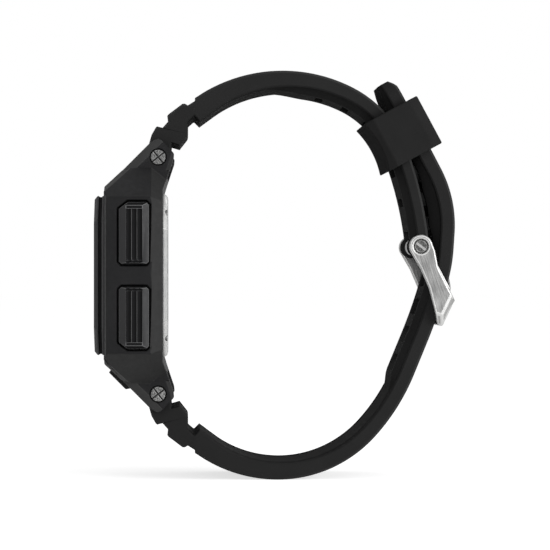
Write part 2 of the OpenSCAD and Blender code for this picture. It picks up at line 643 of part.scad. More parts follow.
// three: on the 3 o'clock side, six: on the 6 o'clock half
module placed(three, six) {
    if (three && six) mirror([0, 1, 0]) mirror([0, 0, 1]) children();
    else if (three) mirror([0, 1, 0]) children();
    else if (six) mirror([0, 0, 1]) children();
    else children();
}

// A closed form through cross-sections with the same number of points
module tube(rings, cap) {
    n = len(rings[0]);
    last = (len(rings) - 1) * n;
    polyhedron([for (ring = rings) each ring], concat(
        [for (i = [0:len(rings) - 2], j = [0:n - 1]) let(k = (j + 1) % n)
            each [[i * n + j, i * n + k, (i + 1) * n + k], [i * n + j, (i + 1) * n + k, (i + 1) * n + j]]],
        [for (t = cap) [t[2], t[1], t[0]]],
        [for (t = cap) [last + t[0], last + t[1], last + t[2]]]));
}

// Strap: cross-sections with bevelled edges and a raised inner rib, from outer point o to inner point i
rib_slant = 1.5;          // width of the rib's slanted sides
function section(o, i, w, rib, height) = let(d = norm(i - o), e = (i - o) / d, a = w / 2, b = strap_bevel,
    r = rib / 2) [for (q = [[-a + b, 0], [a - b, 0], [a, b], [a, d - b * 0.6], [a - b * 0.6, d], [r, d],
        [r - rib_slant, d + height], [-r + rib_slant, d + height], [-r, d], [-a + b * 0.6, d],
        [-a, d - b * 0.6], [-a, b]])
        [o.x + e.x * q[1], q[0], o.y + e.y * q[1]]];
section_cap = [[0, 1, 2], [0, 2, 11], [11, 2, 3], [11, 3, 10], [10, 3, 4], [10, 4, 5], [10, 5, 8],
    [10, 8, 9], [8, 5, 6], [8, 6, 7]];
rib_min = 0.02;
first_ring = 2.2;
ring_pitch = 1.7;
tip_len = 6;
tip_w = 16;
tip_rib = 0.35;           // share of the rib's height left at the tip
tip_round = 1.7;          // length and height of the rounding at the tip's outer edge
tip_drop = 1.05;
function rubber_t(s, end_t, run) = end_t + (strap_root_t - end_t) * exp(-s / run);
function body_w(s) = strap_w - (strap_w - strap_end_w) * min(1, s / 40);
knuckle_rings = [for (k = knuckle)
    section([pin_x, pin_z] + k[0], [pin_x, pin_z] + k[1], strap_w, rib_w, rib_min)];
function route_rings(start, route, length, end_t, run, rib, tip) =
    let(count = ceil((length - first_ring) / ring_pitch))
    [for (k = [0:count]) let(s = first_ring + (length - first_ring) * k / count, p = at(start, route, s),
        near = tip ? max(0, (s - length + tip_len) / tip_len) : 0,
        w = body_w(s) - (strap_end_w - tip_w) * near * near * near,
        end = tip ? max(0, (s - length + tip_round) / tip_round) : 0,
        more = tip ? tail_rib_more * ease(s, more_from) * (1 - ease(s, more_to)) : 0,
        wide = min(rib_w, w - 3))
        section(ahead(p, 0, -tip_drop * end * (0.6 + 0.4 * end)), ahead(p, 0, -rubber_t(s, end_t, run)), w,
            wide, rib_min + (rib_h + more) * ease(s, rib) * (1 - (1 - tip_rib) * near))];
module route_box(start, route, s, along, wide, inner, outer) {
    p = at(start, route, s);
    translate([p[0], 0, p[1]]) rotate([0, -p[2], 0]) translate([0, 0, inner]) linear_extrude(outer - inner)
        polygon(cut_rect(along, wide, 0.5));
}
reach_12 = len_12 + bar_ahead - 0.2;
slot_r = 3.3;             // room round the buckle bar for the tongue
vent_depth = 1.6;
module strap_12() color(rubber_color) difference() {
    union() {
        tube(concat(knuckle_rings, route_rings(start_12, route_12, reach_12, strap_12_end_t, run_12, rib_12,
            false)), section_cap);
        rod_y(pin_x, pin_z, eye_r, -strap_w / 2 + 0.15, strap_w / 2 - 0.15);
        rod_y(bar.x, bar.y, barrel_r, -strap_end_w / 2 + 0.1, strap_end_w / 2 - 0.1);
    }
    rod_y(pin_x, pin_z, pin_d / 2 + run_gap, -strap_w, strap_w);
    rod_y(bar.x, bar.y, bar_d / 2 + run_gap, -strap_w, strap_w);
    rod_y(bar.x, bar.y, slot_r, -tongue_w / 2 - slide_gap, tongue_w / 2 + slide_gap);
    for (k = [0:vent_count - 1])
        let(s = len_12 - 5.8 - k * vent_pitch, t = rubber_t(s, strap_12_end_t, run_12))
        route_box(start_12, route_12, s, vent_len, hole_w, -t - rib_h - over,
            -t - rib_h + vent_depth);
}
module strap_6() color(rubber_color) mirror([0, 0, 1]) difference() {
    union() {
        tube(concat(knuckle_rings, route_rings(start_6, route_6, len_6, strap_6_end_t, run_6, rib_6, true)),
            section_cap);
        rod_y(pin_x, pin_z, eye_r, -strap_w / 2 + 0.15, strap_w / 2 - 0.15);
    }
    rod_y(pin_x, pin_z, pin_d / 2 + run_gap, -strap_w, strap_w);
    for (k = [-holes_before:holes_after])
        route_box(start_6, route_6, hole_at + k * hole_pitch - hole_shift, hole_len, hole_w,
            -tail_t - tail_rib_more - over, over);
}

// Keeper, in the frame of the strap at its middle: x along the strap, z outward from its outer face
keeper_strap_t = rubber_t(keeper_at, strap_12_end_t, run_12) + rib_h;
keeper_floor = keeper_strap_t + slide_gap + 0.05;
keeper_roof = keeper_gap + tail_t + slide_gap + 0.3;
keeper_bend = route_12[1][0];
keeper_inner = strap_end_w / 2 + slide_gap + 0.05;
keeper_w = 2 * (keeper_inner + keeper_side_t);
keeper_top = keeper_roof + keeper_out_t;
module keeper() color(rubber_color) translate([keeper_mid.x, 0, keeper_mid.y]) rotate([0, -keeper_mid[2], 0])
    difference() {
        rotate([90, 0, 90]) linear_extrude(keeper_len, center = true) polygon(keeper_section);
        translate([0, 0, -keeper_bend])
            rod_y(0, 0, keeper_bend - keeper_floor - keeper_in_t, -keeper_w, keeper_w);
        difference() {
            box(-keeper_len, keeper_len, -keeper_inner, keeper_inner, -keeper_floor - 3, keeper_roof);
            translate([0, 0, -keeper_bend]) rod_y(0, 0, keeper_bend - keeper_floor, -keeper_w, keeper_w);
        }
    }
keeper_low = -keeper_floor - keeper_in_t - 1;
keeper_cut = [1.2, 1.9];  // bevel of the outer edges, across and outward
keeper_under = [1.3, 2.2];
keeper_half = [[keeper_w / 2 - keeper_under.x, keeper_low], [keeper_w / 2, keeper_low + keeper_under.y],
    [keeper_w / 2, keeper_top - keeper_cut.y], [keeper_w / 2 - keeper_cut.x, keeper_top]];
keeper_section = concat(keeper_half, [for (i = [3:-1:0]) [-keeper_half[i].x, keeper_half[i].y]]);

// Buckle: places along the holed strap, counted from the hole in use, and outward from its outer face
function by_tail(along, outward) = flip(ahead(at(start_6, route_6, hole_at + along), 0, outward));
tail_face = slide_gap + 0.05;
cross_top = -7.7;
cross_end = -15.2;
cross_t = [2.15, 1.5];
notch_floor = 1;
cross_low = by_tail(cross_end, cross_t[1]);
cross_high = by_tail(cross_top - 2, cross_t[0]);
cross_outline = [by_tail(cross_end, tail_face), by_tail(cross_top, tail_face), cross_high, cross_low];
bar_xz = [bar.x, bar.y];

// The arm's edges between its round end and the crossbar, as places from the buckle bar
arm_inner = [[-0.84, -0.54] * arm_r, [0, -4.5], [1.6, -8.2], [2.6, -12.2]];
arm_outer = [[3.35, -4.1], [2.75, -0.9], [0.88, 0.47] * arm_r];
arm_outline = concat([for (p = arm_inner) bar_xz + p], [by_tail(cross_end, tail_face), cross_low, cross_high,
    by_tail(cross_top, 0.15)], [for (p = arm_outer) bar_xz + p]);

// Bevels on the crossbar's ends: width on the side face, and depth across the watch
end_bevel = [2, 0.9];
face_bevel = [1.1, 0.9];
function turned(v) = [v.y, -v.x] / norm(v);
module end_cut(p, away, bevel) {
    start = p - away * bevel[0];
    beyond([start.x, buckle_w / 2, start.y], [away.x * bevel[1], bevel[0], away.y * bevel[1]]);
}
bar_screw_t = 0.7;
bar_end = buckle_w / 2 - bar_screw_t - 0.1;
module buckle_frame() color(steel_color) difference() {
    union() {
        both_sides() from_side(buckle_w / 2 - arm_t, buckle_w / 2, arm_outline);
        both_sides() rod_y(bar.x, bar.y, arm_r, buckle_w / 2 - arm_t, buckle_w / 2);
        across(buckle_w - arm_t, cross_outline);
    }
    rod_y(bar.x, bar.y, bar_d / 2 + 0.02, -buckle_w, buckle_w);
    both_sides() rod_y(bar.x, bar.y, bar_screw_d / 2 + 0.1, bar_end, buckle_w);
    both_sides() end_cut(cross_low, turned(cross_high - cross_low), face_bevel);
    both_sides() end_cut(cross_low, turned(cross_low - by_tail(cross_end, tail_face)), end_bevel);
    across(tongue_w + 2 * slide_gap, [
        by_tail(cross_end - over, notch_floor), by_tail(cross_top + over, notch_floor),
        by_tail(cross_top + over, 4), by_tail(cross_end - over, 4)]);
}
module buckle_bar() color(steel_color) difference() {
    rod_y(bar.x, bar.y, bar_d / 2, -bar_end + 0.02, bar_end - 0.02);
    both_sides() rod_y(bar.x, bar.y, 0.5, bar_end - 2.2, bar_end + over);
}
module buckle_screws() color(steel_color) both_sides() difference() {
    union() {
        rod_y(bar.x, bar.y, bar_screw_d / 2, bar_end, bar_end + bar_screw_t);
        rod_y(bar.x, bar.y, 0.46, bar_end - 2, bar_end + 0.1);
    }
    translate([bar.x, bar_end + bar_screw_t, bar.y]) rotate([0, -60, 0])
        cube([bar_screw_d + over, 0.6, 0.45], center = true);
}
tongue_gap = 0.25;
leg_place = -0.5;         // place of the tongue's leg along the strap from the bar
tongue_rest = notch_floor + 0.2;
tongue_tip = -10.6;
leg_steps = [-1.5, -3, -4.5, -6, -7.5, -9];
function leg_at(along) = tongue_gap + (tongue_rest - tongue_gap) * ease(-along, [4.2, 8.2]);
function in_hole(along, outward) = flip(ahead(hole_outer, along, outward));
tongue_half = tongue_t / 2;
tongue_outline = concat(
    [in_hole(leg_place + tongue_half, -bar_drop + 1.2),
        in_hole(leg_place + tongue_half, tongue_gap + tongue_half),
        in_hole(leg_place, tongue_gap + tongue_t)],
    [for (d = leg_steps) by_tail(d, leg_at(d) + tongue_t)],
    [by_tail(tongue_tip + 0.3, tongue_rest + tongue_t), by_tail(tongue_tip, tongue_rest + tongue_t * 0.6),
        by_tail(tongue_tip, tongue_rest)],
    [for (i = [len(leg_steps) - 1:-1:0]) by_tail(leg_steps[i], leg_at(leg_steps[i]))],
    [in_hole(leg_place - tongue_half, tongue_gap), in_hole(leg_place - tongue_half, -bar_drop + 1.2)]);
tongue_eye_r = 1.75;
module tongue() color(steel_color) difference() {
    union() {
        across(tongue_w, tongue_outline);
        rod_y(bar.x, bar.y, tongue_eye_r, -tongue_w / 2, tongue_w / 2);
    }
    rod_y(bar.x, bar.y, bar_d / 2 + run_gap, -tongue_w, tongue_w);
}

module pusher_cap_2() placed(true, false) pusher_cap();
module pusher_stem_2() placed(true, false) pusher_stem();
module pusher_clip_2() placed(true, false) pusher_clip();
module pusher_spring_2() placed(true, false) pusher_spring();
module pusher_cap_4() placed(true, true) pusher_cap();
module pusher_stem_4() placed(true, true) pusher_stem();
module pusher_clip_4() placed(true, true) pusher_clip();
module pusher_spring_4() placed(true, true) pusher_spring();
module pusher_cap_8() placed(false, true) pusher_cap();
module pusher_stem_8() placed(false, true) pusher_stem();
module pusher_clip_8() placed(false, true) pusher_clip();
module pusher_spring_8() placed(false, true) pusher_spring();
module pusher_cap_10() placed(false, false) pusher_cap();
module pusher_stem_10() placed(false, false) pusher_stem();
module pusher_clip_10() placed(false, false) pusher_clip();
module pusher_spring_10() placed(false, false) pusher_spring();

echo(strap_runs = [first_run, second_run, hole_leg - tail_tangent, tail_leg - tail_tangent]);
echo(spring_self_gap = spring_self_gap);
echo(bar = bar, keeper_centre = ahead(keeper_mid, 0, -keeper_bend), pin = [pin_x, pin_z]);

case_body();
bezel();
crystal();
crystal_gasket();
hood_plate();
dial_mask();
lcd_panel();
light_panel();
lcd_frame();
zebra_strips();
circuit_board();
battery_holder();
battery();
battery_clip();
buzzer_disc();
case_back();
case_back_gasket();
case_back_screws();
strap_pin_12();
strap_pin_6();
lug_screws();
pusher_gaskets();
strap_12();
strap_6();
keeper();
buckle_frame();
buckle_bar();
buckle_screws();
tongue();
pusher_cap_2();
pusher_stem_2();
pusher_clip_2();
pusher_spring_2();
pusher_cap_4();
pusher_stem_4();
pusher_clip_4();
pusher_spring_4();
pusher_cap_8();
pusher_stem_8();
pusher_clip_8();
pusher_spring_8();
pusher_cap_10();
pusher_stem_10();
pusher_clip_10();
pusher_spring_10();
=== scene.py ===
"""Looks of a digital sports watch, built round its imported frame.

X runs from the face to the wrist, Z to 12 o'clock and -Y to 3 o'clock. The origin is the middle of
the case back's flat face. Sizes are in millimetres, and become metres where a mesh is made.
"""

import logging
import math
from collections.abc import Iterable, Sequence
from dataclasses import dataclass, field
from enum import Enum
from functools import cache

import bmesh
import bpy
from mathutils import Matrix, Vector


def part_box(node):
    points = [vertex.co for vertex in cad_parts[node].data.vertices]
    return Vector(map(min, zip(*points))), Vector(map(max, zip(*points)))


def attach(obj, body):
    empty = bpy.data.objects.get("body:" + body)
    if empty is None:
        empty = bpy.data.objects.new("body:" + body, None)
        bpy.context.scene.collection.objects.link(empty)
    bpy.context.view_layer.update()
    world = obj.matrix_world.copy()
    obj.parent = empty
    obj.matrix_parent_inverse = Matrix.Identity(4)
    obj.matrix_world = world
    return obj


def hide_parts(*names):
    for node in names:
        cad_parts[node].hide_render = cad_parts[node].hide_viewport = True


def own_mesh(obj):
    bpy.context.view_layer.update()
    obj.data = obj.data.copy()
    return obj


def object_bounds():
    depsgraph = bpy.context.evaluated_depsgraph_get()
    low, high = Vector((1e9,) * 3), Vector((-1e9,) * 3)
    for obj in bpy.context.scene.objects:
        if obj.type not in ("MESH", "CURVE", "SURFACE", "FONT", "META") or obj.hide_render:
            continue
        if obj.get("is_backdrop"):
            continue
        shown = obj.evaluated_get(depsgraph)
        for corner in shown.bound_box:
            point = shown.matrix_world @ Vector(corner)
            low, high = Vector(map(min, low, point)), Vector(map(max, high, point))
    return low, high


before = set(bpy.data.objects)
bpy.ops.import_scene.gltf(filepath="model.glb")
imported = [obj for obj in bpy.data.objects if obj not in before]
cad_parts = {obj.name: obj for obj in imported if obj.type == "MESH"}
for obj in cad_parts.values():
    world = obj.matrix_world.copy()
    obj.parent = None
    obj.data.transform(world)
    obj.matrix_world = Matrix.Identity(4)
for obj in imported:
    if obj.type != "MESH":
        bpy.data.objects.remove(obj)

MM = 0.001
SEEN_RAYS = ("Is Camera Ray", "Is Glossy Ray", "Is Transmission Ray")
MIX_SHARE, MIX_ONE, MIX_TWO, MIX_RESULT = 0, 6, 7, 2
WHITE = (1.0, 1.0, 1.0, 1.0)
NOISE_MIDDLE = (0.3, 0.7)
WAVE_RATE = 20
FINE, FINER, FINEST = 3.0, 4.0, 5.0
WELD = 0.02
SOFT = 0.25
BAR_SIDES = 48
CLOSE = 1e-6
FLAT_ANGLE = 0.6
CORNER_SHARE = 0.6
INNER_BEVEL = 0.6
# The places of a coat's further finishes among its piece's materials.
SECOND, THIRD = 1, 2
# A strap's section has sixteen sides. These two are the middles of its faces, which openings cut,
# and the marks say which sides take one of the further finishes.
RIB_MIDDLE, OUTER_MIDDLE = 7, 15
# Sides 1 and 13, the outer bevels, take a painted highlight; sides 6 to 8 take the rib's paler rubber.
STRAP_MARKS = {1: SECOND, 13: SECOND, 6: THIRD, 7: THIRD, 8: THIRD}
Pair = tuple[float, float]
Point = tuple[float, float, float]
Outline = Sequence[Pair]
Socket = bpy.types.NodeSocket
Inputs = dict[str | int, object]
Material = bpy.types.Material
Piece = bpy.types.Object
log = logging.getLogger("watch")


class Lay(Enum):
    """How a surface's scratches lie: their stretch along X, Y and Z, and their turn about Y."""

    EVEN = ((1.0, 1.0, 1.0), 0.0)
    ALONG_Y = ((1.0, 0.04, 1.0), 0.0)
    ALONG_Z = ((1.0, 1.0, 0.04), 0.0)
    ALONG_ARM = ((1.0, 1.0, 0.06), 17.8)
    WIPED = ((1.0, 0.15, 1.0), 0.0)


class Segment(Enum):
    """The bars of a display digit: place across and up, whether it lies flat, digits that light it."""

    TOP = (0.0, 1.0, True, "02356789")
    UPPER_LEFT = (-1.0, 0.5, False, "045689")
    UPPER_RIGHT = (1.0, 0.5, False, "01234789")
    MIDDLE = (0.0, 0.0, True, "2345689")
    LOWER_LEFT = (-1.0, -0.5, False, "0268")
    LOWER_RIGHT = (1.0, -0.5, False, "013456789")
    BOTTOM = (0.0, -1.0, True, "0235689")


def linear(code: str) -> tuple[float, ...]:
    """Turn a colour such as "#3a3b3d" into linear red, green and blue, and an alpha of 1."""
    parts = [int(code[i : i + 2], 16) / 255 for i in (1, 3, 5)]
    return (*[c / 12.92 if c <= 0.04045 else ((c + 0.055) / 1.055) ** 2.4 for c in parts], 1.0)


class Graph:
    """The nodes of a material or of the surroundings, round their shader."""

    def __init__(self, owner: Material | bpy.types.World, shader: str = "Principled BSDF") -> None:
        """Start with the nodes that are there.

        Args:
            owner: The material or the surroundings.
            shader: The name of the shader's node.
        """
        owner.use_nodes = True
        self.tree = owner.node_tree
        self.shader = self.tree.nodes[shader]

    @property
    def place(self) -> Socket:
        """Return the piece's own coordinates."""
        return self.add("ShaderNodeTexCoord").outputs["Object"]

    def add(self, kind: str, inputs: Inputs | None = None, **settings: object) -> bpy.types.Node:
        """Add a node.

        Args:
            kind: The node's type.
            inputs: Values or sockets for its named or numbered inputs.
            **settings: Values for its own properties.

        Returns:
            The new node.
        """
        node = self.tree.nodes.new(kind)
        for name, value in settings.items():
            setattr(node, name, value)
        self.fill(node, inputs or {})
        return node

    def fill(self, node: bpy.types.Node, inputs: Inputs) -> None:
        """Link a node's inputs, or set them to plain values.

        Args:
            node: The node.
            inputs: Values or sockets for its named or numbered inputs.
        """
        for name, value in inputs.items():
            if isinstance(value, Socket):
                self.tree.links.new(value, node.inputs[name])
            else:
                node.inputs[name].default_value = value

    def surface(self, colour: object, rough: object, more: Inputs | None = None) -> None:
        """Give the shader its colour, its roughness and what more is named."""
        self.fill(self.shader, {"Base Color": colour, "Roughness": rough} | (more or {}))

    def noise(self, size: float, detail: float = 2.0, lay: Lay = Lay.EVEN) -> Socket:
        """Add noise of a real size.

        Args:
            size: Size of the noise's lumps, in millimetres.
            detail: Number of finer layers.
            lay: How it is stretched and turned.

        Returns:
            A value of 0 to 1.
        """
        stretch, turn = lay.value
        angles = (0.0, math.radians(turn), 0.0)
        turned = self.add("ShaderNodeMapping", {"Vector": self.place, "Rotation": angles})
        scaled = self.add("ShaderNodeMapping", {"Vector": turned.outputs["Vector"], "Scale": stretch})
        inputs = {"Vector": scaled.outputs["Vector"], "Scale": 1 / (size * MM), "Detail": detail}
        return self.add("ShaderNodeTexNoise", inputs).outputs["Fac"]

    def bands(self, size: float, direction: str, waver: float = 0.0) -> Socket:
        """Add soft bands along a direction, whose period is 2 pi times a size in millimetres."""
        inputs = {"Vector": self.place, "Scale": 1 / (size * MM * WAVE_RATE), "Distortion": waver}
        return self.add("ShaderNodeTexWave", inputs, bands_direction=direction).outputs["Fac"]

    def remap(self, value: Socket, low: float, high: float, start: float = 0.0, end: float = 1.0) -> Socket:
        """Go from start to end while the value goes from low to high."""
        inputs = {"Value": value, "From Min": low, "From Max": high, "To Min": start, "To Max": end}
        return self.add("ShaderNodeMapRange", inputs).outputs["Result"]

    def spread(self, value: Socket, low: float, high: float) -> Socket:
        """Spread the middle of a noise over a range."""
        return self.remap(value, *NOISE_MIDDLE, low, high)

    def blend(self, share: Socket, one: object, two: object) -> Socket:
        """Blend two colours, the first where the share is 0 and the second where it is 1."""
        inputs = {MIX_SHARE: share, MIX_ONE: one, MIX_TWO: two}
        return self.add("ShaderNodeMix", inputs, data_type="RGBA").outputs[MIX_RESULT]

    def combine(self, operation: str, one: object, two: object) -> Socket:
        """Combine two values by an operation such as "ADD"."""
        return self.add("ShaderNodeMath", {0: one, 1: two}, operation=operation).outputs[0]

    def relief(self, height: Socket, depth: float, strength: float = 0.5) -> None:
        """Raise the surface by a pattern of 0 to 1, with a depth in millimetres."""
        node = self.add("ShaderNodeBump", {"Height": height, "Distance": depth * MM, "Strength": strength})
        self.fill(self.shader, {"Normal": node.outputs["Normal"]})

    def seen(self, unseen: float, seen: float) -> Socket:
        """Give one level to the camera and to reflections, and another to light.

        Args:
            unseen: The level for light.
            seen: The level for the camera and for reflections.

        Returns:
            The level.
        """
        rays = self.add("ShaderNodeLightPath").outputs
        found = rays[SEEN_RAYS[0]]
        for name in SEEN_RAYS[1:]:
            found = self.combine("MAXIMUM", found, rays[name])
        return self.remap(found, 0.0, 1.0, unseen, seen)


@dataclass(frozen=True)
class Finish:
    """A finish, which becomes one procedural material."""

    name: str

    @cache
    def material(self) -> Material:
        """Build the material once.

        Returns:
            The material, the same at each call.
        """
        material = bpy.data.materials.new(self.name)
        self.paint(Graph(material))
        return material

    def paint(self, graph: Graph) -> None:
        """Give the material its colour, gloss and relief; each kind of finish does it in its own way."""
        raise NotImplementedError


@dataclass(frozen=True)
class Moulded(Finish):
    """A moulded resin or rubber, with a fine spark-eroded grain, faint clouds, and sharp edges lightened as
    wear and as a painted highlight.
    """

    colour: str
    light: str
    rough: Pair
    specular: float = 0.35
    grain: float = 0.16
    depth: float = 0.02
    wear_and_highlight_share: float = 0.25
    lump: float = 5.0
    lumpy: float = 0.6
    cloud: float = 7.0
    cloudy: Pair = (0.15, 0.6)
    corner: Pair = (0.53, 0.62)

    def paint(self, graph: Graph) -> None:
        """Cloud the colour, lighten its sharp edges as wear and painted highlight, and raise its grain.

        Args:
            graph: The material's nodes.
        """
        lumps = graph.noise(self.grain * self.lump)
        coarse = graph.combine("MULTIPLY", lumps, self.lumpy)
        grain = graph.combine("ADD", graph.noise(self.grain, FINE), coarse)
        clouds = graph.spread(graph.noise(self.cloud, FINER), *self.cloudy)
        # Painted highlight, partly wear: edges found by pointiness blend toward the lighter colour.
        corners = graph.add("ShaderNodeNewGeometry").outputs["Pointiness"]
        edge = graph.remap(corners, *self.corner, 0.0, self.wear_and_highlight_share)
        colour, light = linear(self.colour), linear(self.light)
        edge_highlight_and_wear = graph.blend(edge, graph.blend(clouds, colour, light), light)
        graph.surface(edge_highlight_and_wear, graph.spread(lumps, *self.rough), {"Specular IOR Level": self.specular})
        graph.relief(grain, self.depth)


@dataclass(frozen=True)
class Metal(Finish):
    """A brushed or turned metal with fine scratches and smudges."""

    colour: str
    dull: str
    lay: Lay
    rough: Pair = (0.24, 0.4)
    scratch: float = 0.07
    depth: float = 0.006
    streaks: float = 0.35
    smudge: float = 3.5
    smudged: Pair = (0.0, 0.5)

    def paint(self, graph: Graph) -> None:
        """Smudge the colour and scratch it along its lay.

        Args:
            graph: The material's nodes.
        """
        lines = graph.noise(self.scratch, FINER, self.lay)
        smudges = graph.spread(graph.noise(self.smudge, FINEST), *self.smudged)
        base = graph.blend(smudges, linear(self.colour), linear(self.dull))
        streaked = graph.blend(graph.spread(lines, 0.0, self.streaks), base, linear(self.dull))
        graph.surface(streaked, graph.spread(lines, *self.rough), {"Metallic": 1.0})
        graph.relief(lines, self.depth)


@dataclass(frozen=True)
class Glass(Finish):
    """The mineral crystal: clear, with faint hairlines left by wiping."""

    colour: str = "#f4f8f8"
    hairs: float = 0.6
    rough: Pair = (0.0, 0.04)
    index: float = 1.5

    def paint(self, graph: Graph) -> None:
        """Make it clear, with hairlines in its gloss.

        Args:
            graph: The material's nodes.
        """
        hairs = graph.spread(graph.noise(self.hairs, FINE, Lay.WIPED), *self.rough)
        graph.surface(linear(self.colour), hairs, {"Transmission Weight": 1.0, "IOR": self.index})


@dataclass(frozen=True)
class Display(Finish):
    """The display's reflective grey film, or the light panel behind it, with a faint weave of dots."""

    colour: str
    shade: str
    size: float = 0.28
    dot: float = 0.12
    rows: float = 0.12
    dotted: Pair = (0.0, 0.4)
    rough: Pair = (0.3, 0.42)
    depth: float = 0.004
    strength: float = 0.4

    def paint(self, graph: Graph) -> None:
        """Weave rows and dots into the colour.

        Args:
            graph: The material's nodes.
        """
        dots = graph.noise(self.dot)
        rows = graph.combine("MULTIPLY", graph.bands(self.size, "Z"), self.rows)
        tone = graph.combine("ADD", rows, graph.spread(dots, *self.dotted))
        woven = graph.blend(tone, linear(self.colour), linear(self.shade))
        graph.surface(woven, graph.spread(dots, *self.rough))
        graph.relief(dots, self.depth, self.strength)


@dataclass(frozen=True)
class Layered(Finish):
    """A connector strip of conducting and plain layers, or a board with its tracks."""

    colour: str
    track: str
    size: float
    share: float
    direction: str = "Y"
    waver: float = 0.0
    edge: float = 0.06
    grain: float = 0.3
    grainy: float = 0.2
    rough: Pair = (0.38, 0.55)
    depth: float = 0.03

    def paint(self, graph: Graph) -> None:
        """Lay raised bands over the colour.

        Args:
            graph: The material's nodes.
        """
        bands = graph.bands(self.size, self.direction, self.waver)
        lines = graph.remap(bands, self.share, self.share + self.edge)
        fine = graph.noise(self.grain)
        layers = graph.blend(lines, linear(self.colour), linear(self.track))
        graph.surface(layers, graph.spread(fine, *self.rough))
        height = graph.combine("ADD", lines, graph.combine("MULTIPLY", fine, self.grainy))
        graph.relief(height, self.depth)


class Look:
    """Every finish of the watch."""

    case = Moulded("case_resin", "#161617", "#222223", (0.52, 0.64), 0.11, wear_and_highlight_share=0.6)
    # Paler copies of the case resin, painted light on facets by the way they face.
    case_slope = Moulded("case_slope_painted_light", "#383838", "#434343", (0.52, 0.64), 0.11)
    case_rear_lit = Moulded("case_rear_painted_light", "#262626", "#313131", (0.5, 0.62), 0.11)
    bezel = Moulded("bezel_resin", "#333334", "#444445", (0.5, 0.62), 0.14, wear_and_highlight_share=0.6)
    # Painted shade in the bezel's groove, and a painted highlight on the step behind it.
    bezel_groove = Moulded("bezel_groove", "#161617", "#1e1e1f", (0.5, 0.62), 0.05)
    bezel_step_highlight = Moulded("bezel_step_highlight", "#464647", "#5a5a5b", (0.46, 0.58), 0.16)
    cap = Moulded("pusher_resin", "#29292a", "#363637", (0.4, 0.52), 0.2, wear_and_highlight_share=0.4)
    # Painted highlight on the pusher caps' rounded edges, and painted shade on their flats, end slopes and
    # grooves.
    cap_edge = Moulded("pusher_edge_highlight", "#555556", "#6a6a6b", (0.36, 0.5), 0.3)
    cap_groove = Moulded("pusher_groove_shade", "#131314", "#1c1c1d", (0.5, 0.6), 0.05)
    strap = Moulded("strap_rubber", "#272727", "#2e2e2e", (0.74, 0.86), 0.001, 0.22, wear_and_highlight_share=0.3)
    # Painted highlight on the strap's outer bevels.
    strap_edge = Moulded("strap_edge_highlight", "#313131", "#3a3a3a", (0.7, 0.8), 0.03, 0.22)
    strap_rib = Moulded("strap_smooth_rib", "#303030", "#373737", (0.75, 0.85), 0.003, 0.3)
    keeper = Moulded("keeper_rubber", "#252525", "#2c2c2c", (0.74, 0.86), 0.002, 0.2, wear_and_highlight_share=0.35)
    seal = Moulded("seal_rubber", "#0c0c0d", "#191919", (0.5, 0.6), 0.4, wear_and_highlight_share=0.2)
    inner = Moulded("inner_resin", "#b9b8b2", "#d2d1cb", (0.42, 0.55), 0.5, wear_and_highlight_share=0.2)
    mask = Moulded("mask_print", "#0b0d10", "#15181c", (0.3, 0.42), 0.5, 0.1, 0.006)
    pale_print = Moulded("pale_print", "#b9c0c4", "#cdd3d6", (0.4, 0.5), 0.4, 0.1, 0.004)
    digit = Moulded("display_ink", "#14181a", "#1d2224", (0.3, 0.4), 0.4, 0.1, 0.003)
    buckle = Metal("buckle_steel", "#a0a09f", "#525252", Lay.ALONG_ARM, (0.36, 0.52), 0.2, 0.012, 0.75)
    # Painted highlight on the buckle's rounded edges, and paler steel painted on its slanted facets.
    buckle_edge = Metal(
        "buckle_edge_highlight", "#c6c6c5", "#9c9c9b", Lay.ALONG_ARM, (0.42, 0.54), 0.16, 0.003
    )
    buckle_facet_painted_light = Metal("buckle_facet_painted_light", "#a2a2a1", "#747473", Lay.ALONG_ARM, (0.5, 0.62), 0.16)
    back = Metal("case_back_steel", "#b4b4b3", "#8a8b8c", Lay.ALONG_Z, (0.58, 0.72))
    # Painted highlight on the case back's cut corners.
    back_corner = Metal("case_back_corner_highlight", "#f2f2f1", "#d2d2d1", Lay.ALONG_Z, (0.58, 0.72))
    screw = Metal("screw_steel", "#8c8c8b", "#303030", Lay.EVEN, (0.4, 0.55), 0.26, 0.05, 1.0)
    # Painted highlight on screw rims, and painted shade in the lug screws' slots.
    screw_rim = Metal("screw_rim_highlight", "#c9c9c8", "#7c7c7c", Lay.EVEN, (0.3, 0.42), 0.2)
    screw_slot = Metal("screw_slot", "#3a3a3a", "#1c1c1c", Lay.EVEN, (0.5, 0.65), 0.2)
    bar_screw = Metal("bar_screw_steel", "#6c6c6b", "#2a2a2a", Lay.EVEN, (0.4, 0.55), 0.3, 0.03, 1.0)
    # Painted highlight in the bar screws' slots.
    bar_slot = Metal("bar_screw_groove_highlight", "#9c9c9b", "#6e6e6e", Lay.ALONG_Y, (0.34, 0.5))
    pin = Metal("pin_steel", "#d8d9da", "#a5a7a9", Lay.ALONG_Y)
    battery = Metal("battery_nickel", "#d2d3d0", "#a0a19e", Lay.EVEN, (0.25, 0.42))
    brass = Metal("buzzer_brass", "#d8b26a", "#9a7638", Lay.EVEN, (0.28, 0.45))
    glass = Glass("mineral_glass")
    lcd = Display("display_film", "#8e9688", "#a3aa9b")
    light = Display("light_panel", "#d8dcc8", "#c6ccb4", 0.4)
    board = Layered("board_tracks", "#12351f", "#2f6a3d", 0.7, 0.72, "Z", 6.0)
    zebra = Layered("connector_rubber", "#8f3f35", "#17110f", 0.12, 0.5)


